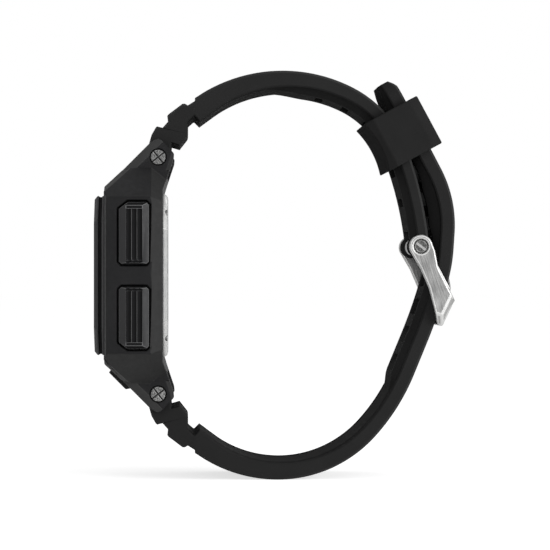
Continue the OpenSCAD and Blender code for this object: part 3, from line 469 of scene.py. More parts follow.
@dataclass
class Coat:
    """What a piece is made of and how its edges are rounded."""

    finish: Finish
    slot: str
    edge: float = 0.0
    segments: int = 2
    angle: float = 24.0
    shortest: float = 0.4
    more: tuple[Finish, ...] = ()
    edge_highlight_and_wear: bool = False

    def weigh(self, work: bmesh.types.BMesh) -> None:
        """Choose the edges that are rounded: sharp ones, but for the shortest, which would end in spikes.

        Args:
            work: The piece's geometry.
        """
        work.normal_update()
        weight = work.edges.layers.float.new("bevel_weight_edge")
        for edge in work.edges:
            sharp = edge.calc_face_angle(0.0) > math.radians(self.angle)
            edge[weight] = float(sharp and edge.calc_length() > self.shortest * MM)

    def put_on(self, piece: Piece) -> None:
        """Give a piece its materials, smooth shading and rounded edges.

        On a piece whose edges are lit, the rounded edges take the first of the further finishes, a painted
        highlight.

        Args:
            piece: The piece.
        """
        for finish in (self.finish, *self.more):
            piece.data.materials.append(finish.material())
        piece.data.polygons.foreach_set("use_smooth", [True] * len(piece.data.polygons))
        piece.data.set_sharp_from_angle(angle=math.radians(self.angle))
        if self.edge:
            bevel = piece.modifiers.new("rounded_edges", "BEVEL")
            bevel.width = self.edge * MM
            bevel.segments = self.segments
            bevel.limit_method = "WEIGHT"
            bevel.harden_normals = True
            bevel.use_clamp_overlap = False
            # Painted highlight: the rounded edges take the brighter further finish.
            if self.edge_highlight_and_wear:
                bevel.material = SECOND


def settle(mesh: bpy.types.Mesh, work: bmesh.types.BMesh, body: str, coat: Coat, *nodes: str) -> Piece:
    """Make a dressed object that rides on its body.

    Args:
        mesh: An unused mesh, whose name the object takes.
        work: The geometry that goes into it.
        body: The body that it rides on.
        coat: Its finishes and edges.
        *nodes: The CAD nodes that it stands for.

    Returns:
        The finished piece.
    """
    if coat.edge:
        coat.weigh(work)
    work.to_mesh(mesh)
    work.free()
    piece = bpy.data.objects.new(mesh.name, mesh)
    bpy.context.scene.collection.objects.link(piece)
    coat.put_on(piece)
    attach(piece, body)
    if nodes:
        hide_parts(*nodes)
    log.info("%s rides on %s with %d faces", piece.name, body, len(mesh.polygons))
    return piece


def rounded_copy(node: str, body: str, coat: Coat) -> Piece:
    """Stand in for a rigid CAD node with the same form, its edges rounded.

    Args:
        node: The node's name.
        body: The body that it rides on.
        coat: Its finishes and edges.

    Returns:
        The piece that replaces the node.
    """
    work = bmesh.new()
    work.from_mesh(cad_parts[node].data)
    bmesh.ops.remove_doubles(work, verts=work.verts, dist=WELD * MM)
    limit = math.radians(FLAT_ANGLE)
    bmesh.ops.dissolve_limit(work, angle_limit=limit, verts=work.verts, edges=work.edges)
    return settle(bpy.data.meshes.new(node + "_rounded"), work, body, coat, node)


def dress(node: str, finish: Finish) -> None:
    """Give a CAD node whose form is right its finish.

    Args:
        node: The node's name.
        finish: Its finish.
    """
    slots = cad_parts[node].material_slots
    for slot in slots:
        slot.material = finish.material()
    if not slots:
        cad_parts[node].data.materials.append(finish.material())
    log.info("%s keeps its form and gets %s", node, finish.name)


def box_mm(node: str) -> tuple[Vector, Vector]:
    """Return the lowest and the highest corner of a CAD node's box, in millimetres."""
    low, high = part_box(node)
    return low / MM, high / MM


def between(one: Pair, two: Pair, share: float) -> Pair:
    """Go a share of the way from one place to another."""
    return (one[0] + (two[0] - one[0]) * share, one[1] + (two[1] - one[1]) * share)


def mirrored(half: Outline) -> list[Pair]:
    """Close a half outline with its mirror image across the watch's middle."""
    return [*half, *[(-y, q) for y, q in reversed(half)]]


def turned(half: Outline) -> list[Pair]:
    """Close a half outline with itself, turned half round."""
    return [*half, *[(-y, -z) for y, z in half]]


def cut_rectangle(w: float, h: float, c: float) -> list[Pair]:
    """Outline a rectangle with cut corners, of a width, a height and a cut."""
    a, b = w / 2, h / 2
    return turned([(-a, c - b), (c - a, -b), (a - c, -b), (a, c - b)])


@dataclass
class Shape:
    """Points and faces of one piece, in millimetres, before it becomes an object."""

    name: str
    points: list[Point] = field(default_factory=list)
    faces: list[tuple[int, ...]] = field(default_factory=list)
    marks: list[int] = field(default_factory=list)
    mark: int = 0

    def ring(self, points: Iterable[Point]) -> list[int]:
        """Add points.

        Args:
            points: Their places.

        Returns:
            Their numbers.
        """
        first = len(self.points)
        self.points.extend(points)
        return list(range(first, len(self.points)))

    def face(self, *numbers: int) -> None:
        """Add a face through the numbered points, in the material marked last."""
        self.faces.append(numbers)
        self.marks.append(self.mark)

    def band(self, one: Sequence[int], two: Sequence[int]) -> None:
        """Join two closed rows of points, of the same length, with four-sided faces."""
        for corners in zip(one, (*one[1:], one[0]), (*two[1:], two[0]), two):
            self.face(*corners)

    def loft(self, rings: Iterable[Iterable[Point]], capped: bool = True) -> None:
        """Join rings of points into a closed form.

        Args:
            rings: Rings with the same number of points.
            capped: Whether the first and the last ring are filled, rather than joined to each other.
        """
        rows = [self.ring(r) for r in rings]
        for one, two in zip(rows, rows[1:]):
            self.band(one, two)
        if capped:
            self.face(*reversed(rows[0]))
            self.face(*rows[-1])
        else:
            self.band(rows[-1], rows[0])

    def prism(self, flat: Outline, start: float, end: float) -> None:
        """Draw an outline of (y, z) out along X."""
        self.loft([[(x, y, z) for y, z in flat] for x in (start, end)])

    def barrel(self, x: float, z: float, radius: float, low: float, high: float) -> None:
        """Add a round bar along Y from low to high, with softened rims."""
        rings = [(low, radius - SOFT), (low + SOFT, radius), (high - SOFT, radius), (high, radius - SOFT)]
        self.loft([[(x + r * a, y, z + r * b) for a, b in circle(BAR_SIDES)] for y, r in rings])

    def piece(self, body: str, coat: Coat, *nodes: str) -> Piece:
        """Make the object, dressed and riding on its body.

        Args:
            body: The body that it rides on.
            coat: Its finishes and edges.
            *nodes: The CAD nodes that it stands for.

        Returns:
            The finished piece.
        """
        mesh = bpy.data.meshes.new(self.name)
        mesh.from_pydata([(x * MM, y * MM, z * MM) for x, y, z in self.points], [], self.faces)
        mesh.polygons.foreach_set("material_index", self.marks)
        mesh.validate()
        work = bmesh.new()
        work.from_mesh(mesh)
        bmesh.ops.recalc_face_normals(work, faces=work.faces)
        return settle(mesh, work, body, coat, *nodes)


def circle(count: int) -> list[Pair]:
    """List the cosine and the sine at equal steps round a circle."""
    return [(math.cos(math.tau * k / count), math.sin(math.tau * k / count)) for k in range(count)]


@dataclass(frozen=True)
class Station:
    """A place on a strap: its outer face's middle, and the direction in which the strap runs there."""

    x: float
    z: float
    heading: float

    def ahead(self, along: float, outward: float) -> "Station":
        """Return the place a distance farther along the direction and a distance outward."""
        c, s = math.cos(math.radians(self.heading)), math.sin(math.radians(self.heading))
        return Station(self.x + along * c - outward * s, self.z + along * s + outward * c, self.heading)

    def bend(self, radius: float, part: float) -> "Station":
        """Go along a bend, or along a straight run.

        Args:
            radius: The bend's radius, or 0 for a straight run.
            part: How far to go.

        Returns:
            The place reached.
        """
        if radius == 0:
            return self.ahead(part, 0)
        turned = self.heading - math.degrees(part / radius)
        a, b = math.radians(self.heading), math.radians(turned)
        x = self.x - radius * (math.sin(b) - math.sin(a))
        return Station(x, self.z + radius * (math.cos(b) - math.cos(a)), turned)


@dataclass(frozen=True)
class Route:
    """A strap's path: straight runs are (0, length) and bends are (radius, angle)."""

    start: Station
    legs: tuple[Pair, ...]

    def length(self, count: int | None = None) -> float:
        """Return the length of the first legs, or of all of them."""
        return sum(b if a == 0 else a * math.radians(b) for a, b in self.legs[:count])

    def at(self, s: float) -> Station:
        """Find a place on the route, or on the last leg's continuation.

        Args:
            s: Distance from the start.

        Returns:
            The place there.
        """
        here = self.start
        for i, leg in enumerate(self.legs, 1):
            part = s if i == len(self.legs) else min(s, self.length(i) - self.length(i - 1))
            here = here.bend(leg[0], part)
            s -= part
            if s <= 0:
                break
        return here


def ease(s: float, low: float, high: float) -> float:
    """Rise smoothly from 0 to 1 while s goes from low to high."""
    t = max(0.0, min(1.0, (s - low) / (high - low)))
    return t * t * (3 - 2 * t)


@dataclass(frozen=True)
class StrapSizes:
    """The strap's sizes and its paths from the lugs to the buckle and the tip."""

    pin_x: float = -1.8
    pin_z: float = 23.0
    pin_wall: float = 2.9
    width: float = 24.0
    end_width: float = 22.0
    narrowing: float = 40.0
    root_t: float = 4.25
    end_t_12: float = 1.9
    end_t_6: float = 2.7
    thin_12: float = 28.0
    thin_6: float = 16.0
    rib_h: float = 1.15
    rib_w: float = 17.0
    rib_slant: float = 1.5
    no_rib: float = 0.02
    rib_12: Pair = (14.0, 24.0)
    more_h: float = 0.85
    more_from: Pair = (1.5, 5.0)
    more_to: Pair = (12.0, 19.0)
    bevel: float = 0.45
    hollow: float = 0.3
    hole_len: float = 3.4
    hole_w: float = 9.4
    hole_pitch: float = 6.1
    hole_shift: float = 0.8
    vent_len: float = 1.7
    vent_pitch: float = 6.4
    vent_depth: float = 1.6
    vent_first: float = 5.8
    vent_w: float = 9.0
    barrel_r: float = 2.15
    bar_ahead: float = 3.6
    bar_under: float = 1.85
    barrel_gap: float = 0.7
    keeper_at: float = 46.0
    keeper_gap: float = 0.42
    tail_past: float = 10.5
    tail_bend: float = 24.0
    slot_w: float = 9.0
    slot_r: float = 3.3
    head_12: float = 34.8
    head_6: float = 33.2
    head_run: float = -67.0
    head_hole: float = -85.5
    head_tail: float = -117.0
    bends_12: tuple[Pair, ...] = ((30.3, 61.8), (22.0, 43.0), (75.0, 12.0))
    bends_6: tuple[Pair, ...] = ((27.8, 33.6), (25.7, 47.3), (41.0, 20.0), (105.0, 7.0), (31.0, 11.5))
    hole_leg: int = 7
    knuckle: tuple[tuple[float, float, float, float], ...] = (
        (-2.56, 1.36, 2.56, -1.36),
        (-1.82, 2.71, 2.4, 1.8),
        (-1.55, 3.7, 2.55, 3.1),
        (-1.31, 4.49, 4.1, 2.6),
        (-0.51, 5.9, 5.2, 4.0),
        (-0.23, 6.13, 5.4, 4.26),
        (0.74, 5.76, 5.7, 4.65),
        (2.05, 7.25, 5.8, 5.0),
        (1.74, 8.19, 5.8, 5.5),
        (2.01, 8.52, 5.8, 6.1),
        (4.73, 10.57, 5.49, 6.9),
        (5.2, 10.57, 6.2, 7.6),
        (5.75, 10.24, 6.9, 8.2),
        (7.1, 11.1, 7.1, 8.2),
        (7.15, 11.7, 8.1, 7.2),
    )

    def root(self, heading: float) -> Station:
        """Return where a strap's even part starts."""
        return Station(self.pin_x + self.knuckle[-1][0], self.pin_z + self.knuckle[-1][1], heading)

    def path_12(self) -> Route:
        """Return the buckle half's path."""
        return Route(self.root(self.head_12), self.bends_12)

    def bar(self) -> Station:
        """Find the buckle bar.

        Returns:
            Its place, mirrored with 6 o'clock upward and headed as the tail at the hole in use.
        """
        path = self.path_12()
        end = path.at(path.length()).ahead(self.bar_ahead, -self.bar_under)
        return Station(end.x, -end.z, self.head_hole)

    def bar_drop(self) -> float:
        """Return the distance from the bar to the tail's outer face."""
        return self.barrel_r + self.barrel_gap + self.end_t_6 + self.rib_h

    def path_6(self) -> Route:
        """Close the holed half's path on the buckle bar and the keeper.

        Returns:
            The path, mirrored with 6 o'clock upward.
        """
        hole = self.bar().ahead(0, self.bar_drop())
        start = self.root(self.head_6)
        loose = Route(start, self.bends_6)
        first, second = self.two_runs(loose.at(loose.length()), hole, self.head_6, self.head_run)
        mid = self.path_12().at(self.keeper_at)
        out = self.keeper_gap + self.end_t_6 + self.rib_h
        tail = Station(mid.x, -mid.z, self.head_tail).ahead(0, out)
        before, after = self.two_runs(hole, tail, self.head_hole, self.head_tail)
        turn = self.head_hole - self.head_tail
        tangent = self.tail_bend * math.tan(math.radians(turn / 2))
        runs = ((0.0, first), *self.bends_6[:3], (0.0, second), *self.bends_6[3:], (0.0, before - tangent))
        return Route(start, (*runs, (self.tail_bend, turn), (0.0, after - tangent + self.tail_past)))

    @staticmethod
    def two_runs(near: Station, far: Station, one: float, two: float) -> Pair:
        """Go from one place to another in two straight runs.

        Args:
            near: Where the runs start.
            far: Where they end.
            one: The first run's heading.
            two: The second run's heading.

        Returns:
            The two runs' lengths.
        """
        dx, dz = far.x - near.x, far.z - near.z
        a, b = math.radians(one), math.radians(two)
        first = (dx * math.sin(b) - dz * math.cos(b)) / math.sin(b - a)
        return first, (dz * math.cos(a) - dx * math.sin(a)) / math.sin(b - a)

    def width_at(self, s: float) -> float:
        """Return the strap's width at a distance."""
        return self.width - (self.width - self.end_width) * min(1.0, s / self.narrowing)

    def thickness(self, s: float, end_t: float, thin: float) -> float:
        """Return the rubber's thickness at a distance."""
        return end_t + (self.root_t - end_t) * math.exp(-s / thin)


@dataclass(frozen=True)
class Opening:
    """A hole, or a recess of some depth, in a strap between two distances along it."""

    start: float
    end: float
    depth: float | None = None

    def covers(self, low: float, high: float) -> bool:
        """Tell whether a stretch lies in the opening."""
        return low >= self.start - CLOSE and high <= self.end + CLOSE


@dataclass(frozen=True)
class Slice:
    """One cross-section of a strap, from its outer to its inner face's middle, each as (x, z)."""

    s: float
    outer: Pair
    inner: Pair
    width: float
    rib_w: float
    rib_h: float
    slant: float
    hole_w: float
    hollow: float = 0.0

    def place(self, y: float, depth: float) -> Point:
        """Return the point at a distance across the strap and a depth under its outer face."""
        x, z = between(self.outer, self.inner, depth / math.dist(self.outer, self.inner))
        return (x, y, z)

    def points(self, bevel: float) -> list[Point]:
        """Place the outline's sixteen points.

        Args:
            bevel: The bevel along the strap's outer edges.

        Returns:
            The points round the section, from the outer face.
        """
        d = math.dist(self.outer, self.inner)
        a, r, h, low = self.width / 2, self.rib_w / 2, self.hole_w / 2, bevel * INNER_BEVEL
        half = [(h, self.hollow), (a - bevel, 0.0), (a, bevel), (a, d - low), (a - low, d), (r, d)]
        half += [(r - self.slant, d + self.rib_h), (h, d + self.rib_h)]
        return [self.place(y, q) for y, q in mirrored(half)]

    def floor(self, depth: float) -> list[Point]:
        """Return the floor's two points in a recess of a depth."""
        q = math.dist(self.outer, self.inner) + self.rib_h - depth
        return [self.place(self.hole_w / 2, q), self.place(-self.hole_w / 2, q)]


@dataclass
class StrapHalf:
    """One rubber half of the strap, with its lug knuckle, inner rib, openings and round barrels."""

    name: str
    node: str
    sizes: StrapSizes
    path: Route
    length: float
    end_t: float
    thin: float
    rib: Pair
    side: float
    openings: tuple[Opening, ...]
    hole_w: float
    barrels: tuple[tuple[float, ...], ...]
    has_tip: bool = False
    first: float = 2.2
    pitch: float = 0.85
    edge_gap: float = 0.3
    rib_side: float = 3.0
    hole_side: float = 0.6
    tip_len: float = 6.0
    tip_w: float = 16.0
    tip_rib: float = 0.35
    tip_round: float = 1.7
    tip_drop: float = 1.05
    tip_curve: float = 0.6
    knuckle_from: int = -20

    def slices(self) -> list[Slice]:
        """List the cross-sections from the lug to the end.

        Returns:
            The knuckle's sections, numbered from well before the path, and those along it.
        """
        z = self.sizes
        found = []
        for i, (ox, oz, ix, iz) in enumerate(z.knuckle, self.knuckle_from):
            outer = (z.pin_x + ox, self.side * (z.pin_z + oz))
            inner = (z.pin_x + ix, self.side * (z.pin_z + iz))
            found.append(Slice(i, outer, inner, z.width, z.rib_w, z.no_rib, z.rib_slant, self.hole_w))
        count = math.ceil((self.length - self.first) / self.pitch)
        places = [self.first + (self.length - self.first) * k / count for k in range(count + 1)]
        edges = [e for o in self.openings for e in (o.start, o.end) if e < self.length]
        places = [s for s in places if all(abs(s - e) > self.edge_gap for e in edges)] + edges
        return found + [self.slice_at(s) for s in sorted(places)]

    def slice_at(self, s: float) -> Slice:
        """Make the cross-section at a distance along the path.

        Args:
            s: The distance.

        Returns:
            The section there.
        """
        z = self.sizes
        near, end, more, hollow = 0.0, 0.0, 0.0, 0.0
        if self.has_tip:
            near = max(0.0, (s - self.length + self.tip_len) / self.tip_len)
            end = max(0.0, (s - self.length + self.tip_round) / self.tip_round)
            past = s - self.path.length(z.hole_leg)
            more = z.more_h * ease(past, *z.more_from) * (1 - ease(past, *z.more_to))
            hollow = z.hollow * ease(s, *self.rib) * (1 - near)
        width = z.width_at(s) - (z.end_width - self.tip_w) * near**3
        rib = z.no_rib + (z.rib_h + more) * ease(s, *self.rib) * (1 - (1 - self.tip_rib) * near)
        place = self.path.at(s)
        outer = place.ahead(0, -self.tip_drop * end * (self.tip_curve + (1 - self.tip_curve) * end))
        inner = place.ahead(0, -z.thickness(s, self.end_t, self.thin))
        wide = min(z.rib_w, width - self.rib_side)
        hole_w = min(self.hole_w, wide - 2 * z.rib_slant - self.hole_side)
        ends = (outer.x, self.side * outer.z), (inner.x, self.side * inner.z)
        return Slice(s, *ends, width, wide, rib, z.rib_slant, hole_w, hollow)

    def opening_in(self, low: float, high: float) -> Opening | None:
        """Return the opening that a stretch lies in, if any."""
        return next((o for o in self.openings if o.covers(low, high)), None)

    def build(self, coat: Coat) -> None:
        """Build the half and let it stand for its CAD node, whose body has the same name.

        Args:
            coat: Its finishes and edges.
        """
        shape = Shape(self.name)
        parts = self.slices()
        rows = [shape.ring(p.points(self.sizes.bevel)) for p in parts]
        gaps = [self.opening_in(a.s, b.s) for a, b in zip(parts, parts[1:])]
        around = list(zip([None, *gaps], [*gaps, None]))
        bottoms = []
        for part, row, openings in zip(parts, rows, around):
            deep = [o.depth for o in openings if o is not None and o.depth is not None]
            bottoms.append(shape.ring(part.floor(deep[0])) if deep else [row[0], row[-1]])
        for (last, here), row, low in zip(around, rows, bottoms):
            if here is not last:
                shape.face(row[RIB_MIDDLE], row[RIB_MIDDLE + 1], low[1], low[0])
        for i, here in enumerate(gaps):
            self.skin(shape, rows[i], rows[i + 1], here)
            near, far = bottoms[i], bottoms[i + 1]
            if here is not None and here.depth is not None:
                shape.face(near[0], near[1], far[1], far[0])
            for k in (0, 1) if here is not None else ():
                j = RIB_MIDDLE + k
                shape.face(rows[i][j], rows[i + 1][j], far[k], near[k])
        shape.face(*reversed(rows[0]))
        last, split = rows[-1], RIB_MIDDLE + 1
        for end in [last] if gaps[-1] is None else [last[:split], last[split:]]:
            shape.face(*end)
        for x, z, radius, low, high in self.barrels:
            shape.barrel(x, z, radius, low, high)
        shape.piece(self.node, coat, self.node)

    @staticmethod
    def skin(shape: Shape, one: list[int], two: list[int], opening: Opening | None) -> None:
        """Join two neighbouring sections, but for what an opening takes away.

        Args:
            shape: The shape being built.
            one: The nearer section's points.
            two: The farther section's points.
            opening: The opening between them, or None.
        """
        for j in range(len(one)):
            outer = j == OUTER_MIDDLE and opening is not None and opening.depth is None
            if outer or (j == RIB_MIDDLE and opening is not None):
                continue
            k = (j + 1) % len(one)
            shape.mark = STRAP_MARKS.get(j, 0)
            shape.face(one[j], one[k], two[k], two[j])
        shape.mark = 0


@dataclass
class Strap:
    """Both rubber halves of the strap."""

    sizes: StrapSizes
    vents: int = 6
    holes: tuple[int, int] = (-4, 5)
    rib_from: Pair = (-1.2, -0.4)
    end_gap: float = 0.2
    side_gap: Pair = (0.15, 0.1)
    slot_past: float = 1.0

    def build(self) -> None:
        """Build the two halves."""
        z = self.sizes
        # The strap's outer bevels take a painted highlight.
        coat = Coat(Look.strap, "strap", angle=20.0, more=(Look.strap_edge, Look.strap_rib))
        half = z.width / 2 - self.side_gap[0]
        path, bar = z.path_12(), z.bar()
        length = path.length()
        reach = length + z.bar_ahead - self.end_gap
        spots = [length - z.vent_first - k * z.vent_pitch for k in range(self.vents)]
        vents = [Opening(s - z.vent_len / 2, s + z.vent_len / 2, z.vent_depth) for s in spots]
        cuts = (*vents, Opening(length + z.bar_ahead - z.slot_r, reach + self.slot_past))
        ends = (z.slot_w / 2, z.end_width / 2 - self.side_gap[1])
        pin = (z.pin_x, z.pin_z, z.pin_wall, -half, half)
        round_bar = (bar.x, -bar.z, z.barrel_r)
        barrels = (pin, (*round_bar, *ends), (*round_bar, -ends[1], -ends[0]))
        form = (path, reach, z.end_t_12, z.thin_12, z.rib_12, 1.0)
        StrapHalf("strap_buckle_half", "strap_12", z, *form, cuts, z.vent_w, barrels).build(coat)
        path = z.path_6()
        hole = path.length(z.hole_leg)
        low, high = self.holes
        spots = [hole + k * z.hole_pitch - z.hole_shift for k in range(low, high + 1)]
        cuts = tuple(Opening(s - z.hole_len / 2, s + z.hole_len / 2) for s in spots)
        rib = tuple(hole + (low + step) * z.hole_pitch for step in self.rib_from)
        pin = (z.pin_x, -z.pin_z, z.pin_wall, -half, half)
        form = (path, path.length(), z.end_t_6, z.thin_6, rib, -1.0)
        StrapHalf("strap_holed_half", "strap_6", z, *form, cuts, z.hole_w, (pin,), True).build(coat)


@dataclass
class Keeper:
    """The free rubber loop that holds the tail."""

    sizes: StrapSizes
    length: float = 10.5
    width: float = 26.0
    inner_t: float = 0.9
    outer_t: float = 1.4
    gap: float = 0.35
    tail_gap: float = 0.6
    bend: float = 22.0
    top_cut: Pair = (1.2, 1.9)
    low_cut: Pair = (1.3, 2.2)
    low_edge: float = 1.0
    steps: int = 14

    def build(self) -> None:
        """Build the loop round both halves of the strap."""
        z = self.sizes
        floor = z.thickness(z.keeper_at, z.end_t_12, z.thin_12) + z.rib_h + self.gap
        roof = z.keeper_gap + z.end_t_6 + z.rib_h + self.tail_gap
        top = roof + self.outer_t
        mid = z.path_12().at(z.keeper_at)
        half, inner = self.width / 2, z.end_width / 2 + self.gap
        low = -floor - self.inner_t - self.low_edge + self.low_cut[1]
        walls = [(half, low), (half, top - self.top_cut[1]), (half - self.top_cut[0], top)]
        shape = Shape("keeper_loop")
        rows = []
        for k in range(self.steps + 1):
            u = self.length * (k / self.steps - 0.5)
            under = math.sqrt((self.bend - floor - self.inner_t) ** 2 - u * u) - self.bend
            above = math.sqrt((self.bend - floor) ** 2 - u * u) - self.bend
            cut = self.low_cut[0] * (low - under) / self.low_cut[1]
            loops = mirrored([(half - cut, under), *walls]), mirrored([(inner, above), (inner, roof)])
            places = [[(mid.ahead(u, out), y) for y, out in loop] for loop in loops]
            rows.append([shape.ring([(spot.x, y, spot.z) for spot, y in loop]) for loop in places])
        for one, two in zip(rows, rows[1:]):
            shape.band(one[0], two[0])
            shape.band(one[1], two[1])
        for o, n in (rows[0], rows[-1]):
            shape.face(*o[:3], n[1], n[0])
            shape.face(*o[2:6], n[2], n[1])
            shape.face(*o[5:], n[3], n[2])
            shape.face(o[7], o[0], n[0], n[3])
        shape.piece("keeper", Coat(Look.keeper, "keeper", 0.28, 3, 20.0), "keeper")


@dataclass(frozen=True)
class ScrewHead:
    """A screw across the watch: raised sectors, whose rims take a painted highlight, between slots, on a
    shank.
    """

    radius: float
    thickness: float
    cuts: int
    turn: float
    slot: float = 0.4
    depth: float = 0.3
    sink: float = 0.02
    rim: float = 0.1
    slant: float = 0.7
    overlap: float = 0.1
    shank_r: float = 0.5
    shank: float = 2.0
    sides: int = 40
    arc: int = 16
    crossed: int = 4

    def add(self, shape: Shape, x: float, y: float, z: float) -> None:
        """Add the screw to a shape; its finishes are the head's, the rims' and the slots'.

        Args:
            shape: The shape being built.
            x: Its middle along X.
            y: Its outer face's place; the screw goes in from that side.
            z: Its middle along Z.
        """
        side = math.copysign(1.0, y)
        around = circle(self.sides)
        base = (self.radius, self.thickness, self.depth)
        shape.mark = THIRD
        shank = (self.shank_r, self.thickness + self.shank, self.thickness - self.overlap)
        for r, start, end in (base, shank):
            rings = [[(x + r * a, y - side * d, z + r * b) for a, b in around] for d in (start, end)]
            shape.loft(rings)
        for k in range(self.cuts):
            flat = self.sector(self.turn + 360 / self.cuts * k)
            mid = tuple(sum(values) / len(flat) for values in zip(*flat))
            inside = [between(spot, mid, self.rim / math.dist(spot, mid)) for spot in flat]
            steps = ((flat, self.depth + self.sink), (flat, self.rim * self.slant), (inside, 0.0))
            rows = [shape.ring([(x + a, y - side * d, z + b) for a, b in loop]) for loop, d in steps]
            shape.mark = THIRD
            shape.band(rows[0], rows[1])
            shape.mark = SECOND
            shape.band(rows[1], rows[2])
            shape.mark = 0
            shape.face(*rows[2])
            shape.face(*reversed(rows[0]))

    def sector(self, start: float) -> list[Pair]:
        """Outline one raised sector of the head between two slots.

        Args:
            start: Direction of the slot before it, in degrees.

        Returns:
            The outline round the head's middle.
        """
        half = self.slot / 2
        skip = math.asin(half / self.radius)
        whole = math.tau / self.cuts
        turns = [skip + (whole - 2 * skip) * k / self.arc for k in range(self.arc + 1)]
        flat = [(self.radius * math.cos(a), self.radius * math.sin(a)) for a in turns]
        if self.cuts == self.crossed:
            flat.append((half, half))
        c, s = math.cos(math.radians(start)), math.sin(math.radians(start))
        return [(a * c - b * s, a * s + b * c) for a, b in flat]


@dataclass
class Buckle:
    """The steel frame with its bar, screws and tongue."""

    sizes: StrapSizes
    facet: Pair = (0.2, 0.96)
    tongue_w: float = 8.4
    tongue_t: float = 0.45
    tongue_low: float = -0.17
    tongue_rest: float = 1.2
    prong: Pair = (-1.5, 0.75)
    leg_start: float = 1.2
    leg_half: float = 0.375
    leg_place: float = -0.5
    tip_at: float = -10.6
    tip_slant: float = 0.3
    eye_r: float = 1.75
    rise: Pair = (4.2, 8.2)
    prong_steps: int = 11
    screw: ScrewHead = ScrewHead(radius=1.15, thickness=0.7, cuts=2, turn=-38.0, slot=0.5, depth=0.18)

    def build(self) -> None:
        """Dress the buckle's parts; the frame's rounded edges take a painted highlight and its slanted
        facets a paler steel, painted light.
        """
        more = (Look.buckle_edge, Look.buckle_facet_painted_light)
        steel = Coat(Look.buckle, "buckle", 0.36, 4, 12.0, 0.12, more, edge_highlight_and_wear=True)
        for face in rounded_copy("buckle_frame", "buckle", steel).data.polygons:
            if self.facet[0] < abs(face.normal.y) < self.facet[1]:
                face.material_index = THIRD
        self.tongue()
        dress("buckle_bar", Look.pin)
        self.screws()

    def tongue(self) -> None:
        """Build the tongue: an eye on the bar, a leg through the hole and a prong that lies on the tail."""
        z = self.sizes
        path, bar = z.path_6(), z.bar()
        middle = path.length(z.hole_leg)
        hole = bar.ahead(0, z.bar_drop())
        t, low, half = self.tongue_t, self.tongue_low, self.leg_half

        def on_tail(along: float, lift: float) -> Station:
            """Return a place lifted off the tail, where the prong's own lift grows toward the crossbar."""
            own = low + (self.tongue_rest - low) * ease(-along, *self.rise)
            return path.at(middle + along).ahead(0, own + lift)

        steps = [self.prong[0] - self.prong[1] * k for k in range(self.prong_steps)]
        start = self.leg_start - z.bar_drop()
        spots = [
            hole.ahead(self.leg_place + half, start),
            hole.ahead(self.leg_place + half, low),
            hole.ahead(self.leg_place, low + t),
            *[on_tail(along, t) for along in (*steps, self.tip_at + self.tip_slant)],
            on_tail(self.tip_at, t / 2),
            on_tail(self.tip_at, 0.0),
            *[on_tail(along, 0.0) for along in reversed(steps)],
            hole.ahead(self.leg_place - half, low),
            hole.ahead(self.leg_place - half, start),
        ]
        shape = Shape("buckle_tongue")
        side = self.tongue_w / 2
        shape.loft([[(p.x, y, -p.z) for p in spots] for y in (-side, side)])
        shape.barrel(bar.x, -bar.z, self.eye_r, -side, side)
        shape.piece("tongue", Coat(Look.buckle, "buckle", 0.1, 2, 22.0), "tongue")

    def screws(self) -> None:
        """Build the bar's two screws, each with one slot."""
        low, high = box_mm("buckle_screws")
        shape = Shape("buckle_slotted_screws")
        for side in (-1, 1):
            self.screw.add(shape, (low.x + high.x) / 2, side * high.y, (low.z + high.z) / 2)
        # Painted highlight on the rims and in the slot.
        coat = Coat(Look.bar_screw, "steel", more=(Look.screw_rim, Look.bar_slot))
        shape.piece("buckle", coat, "buckle_screws")


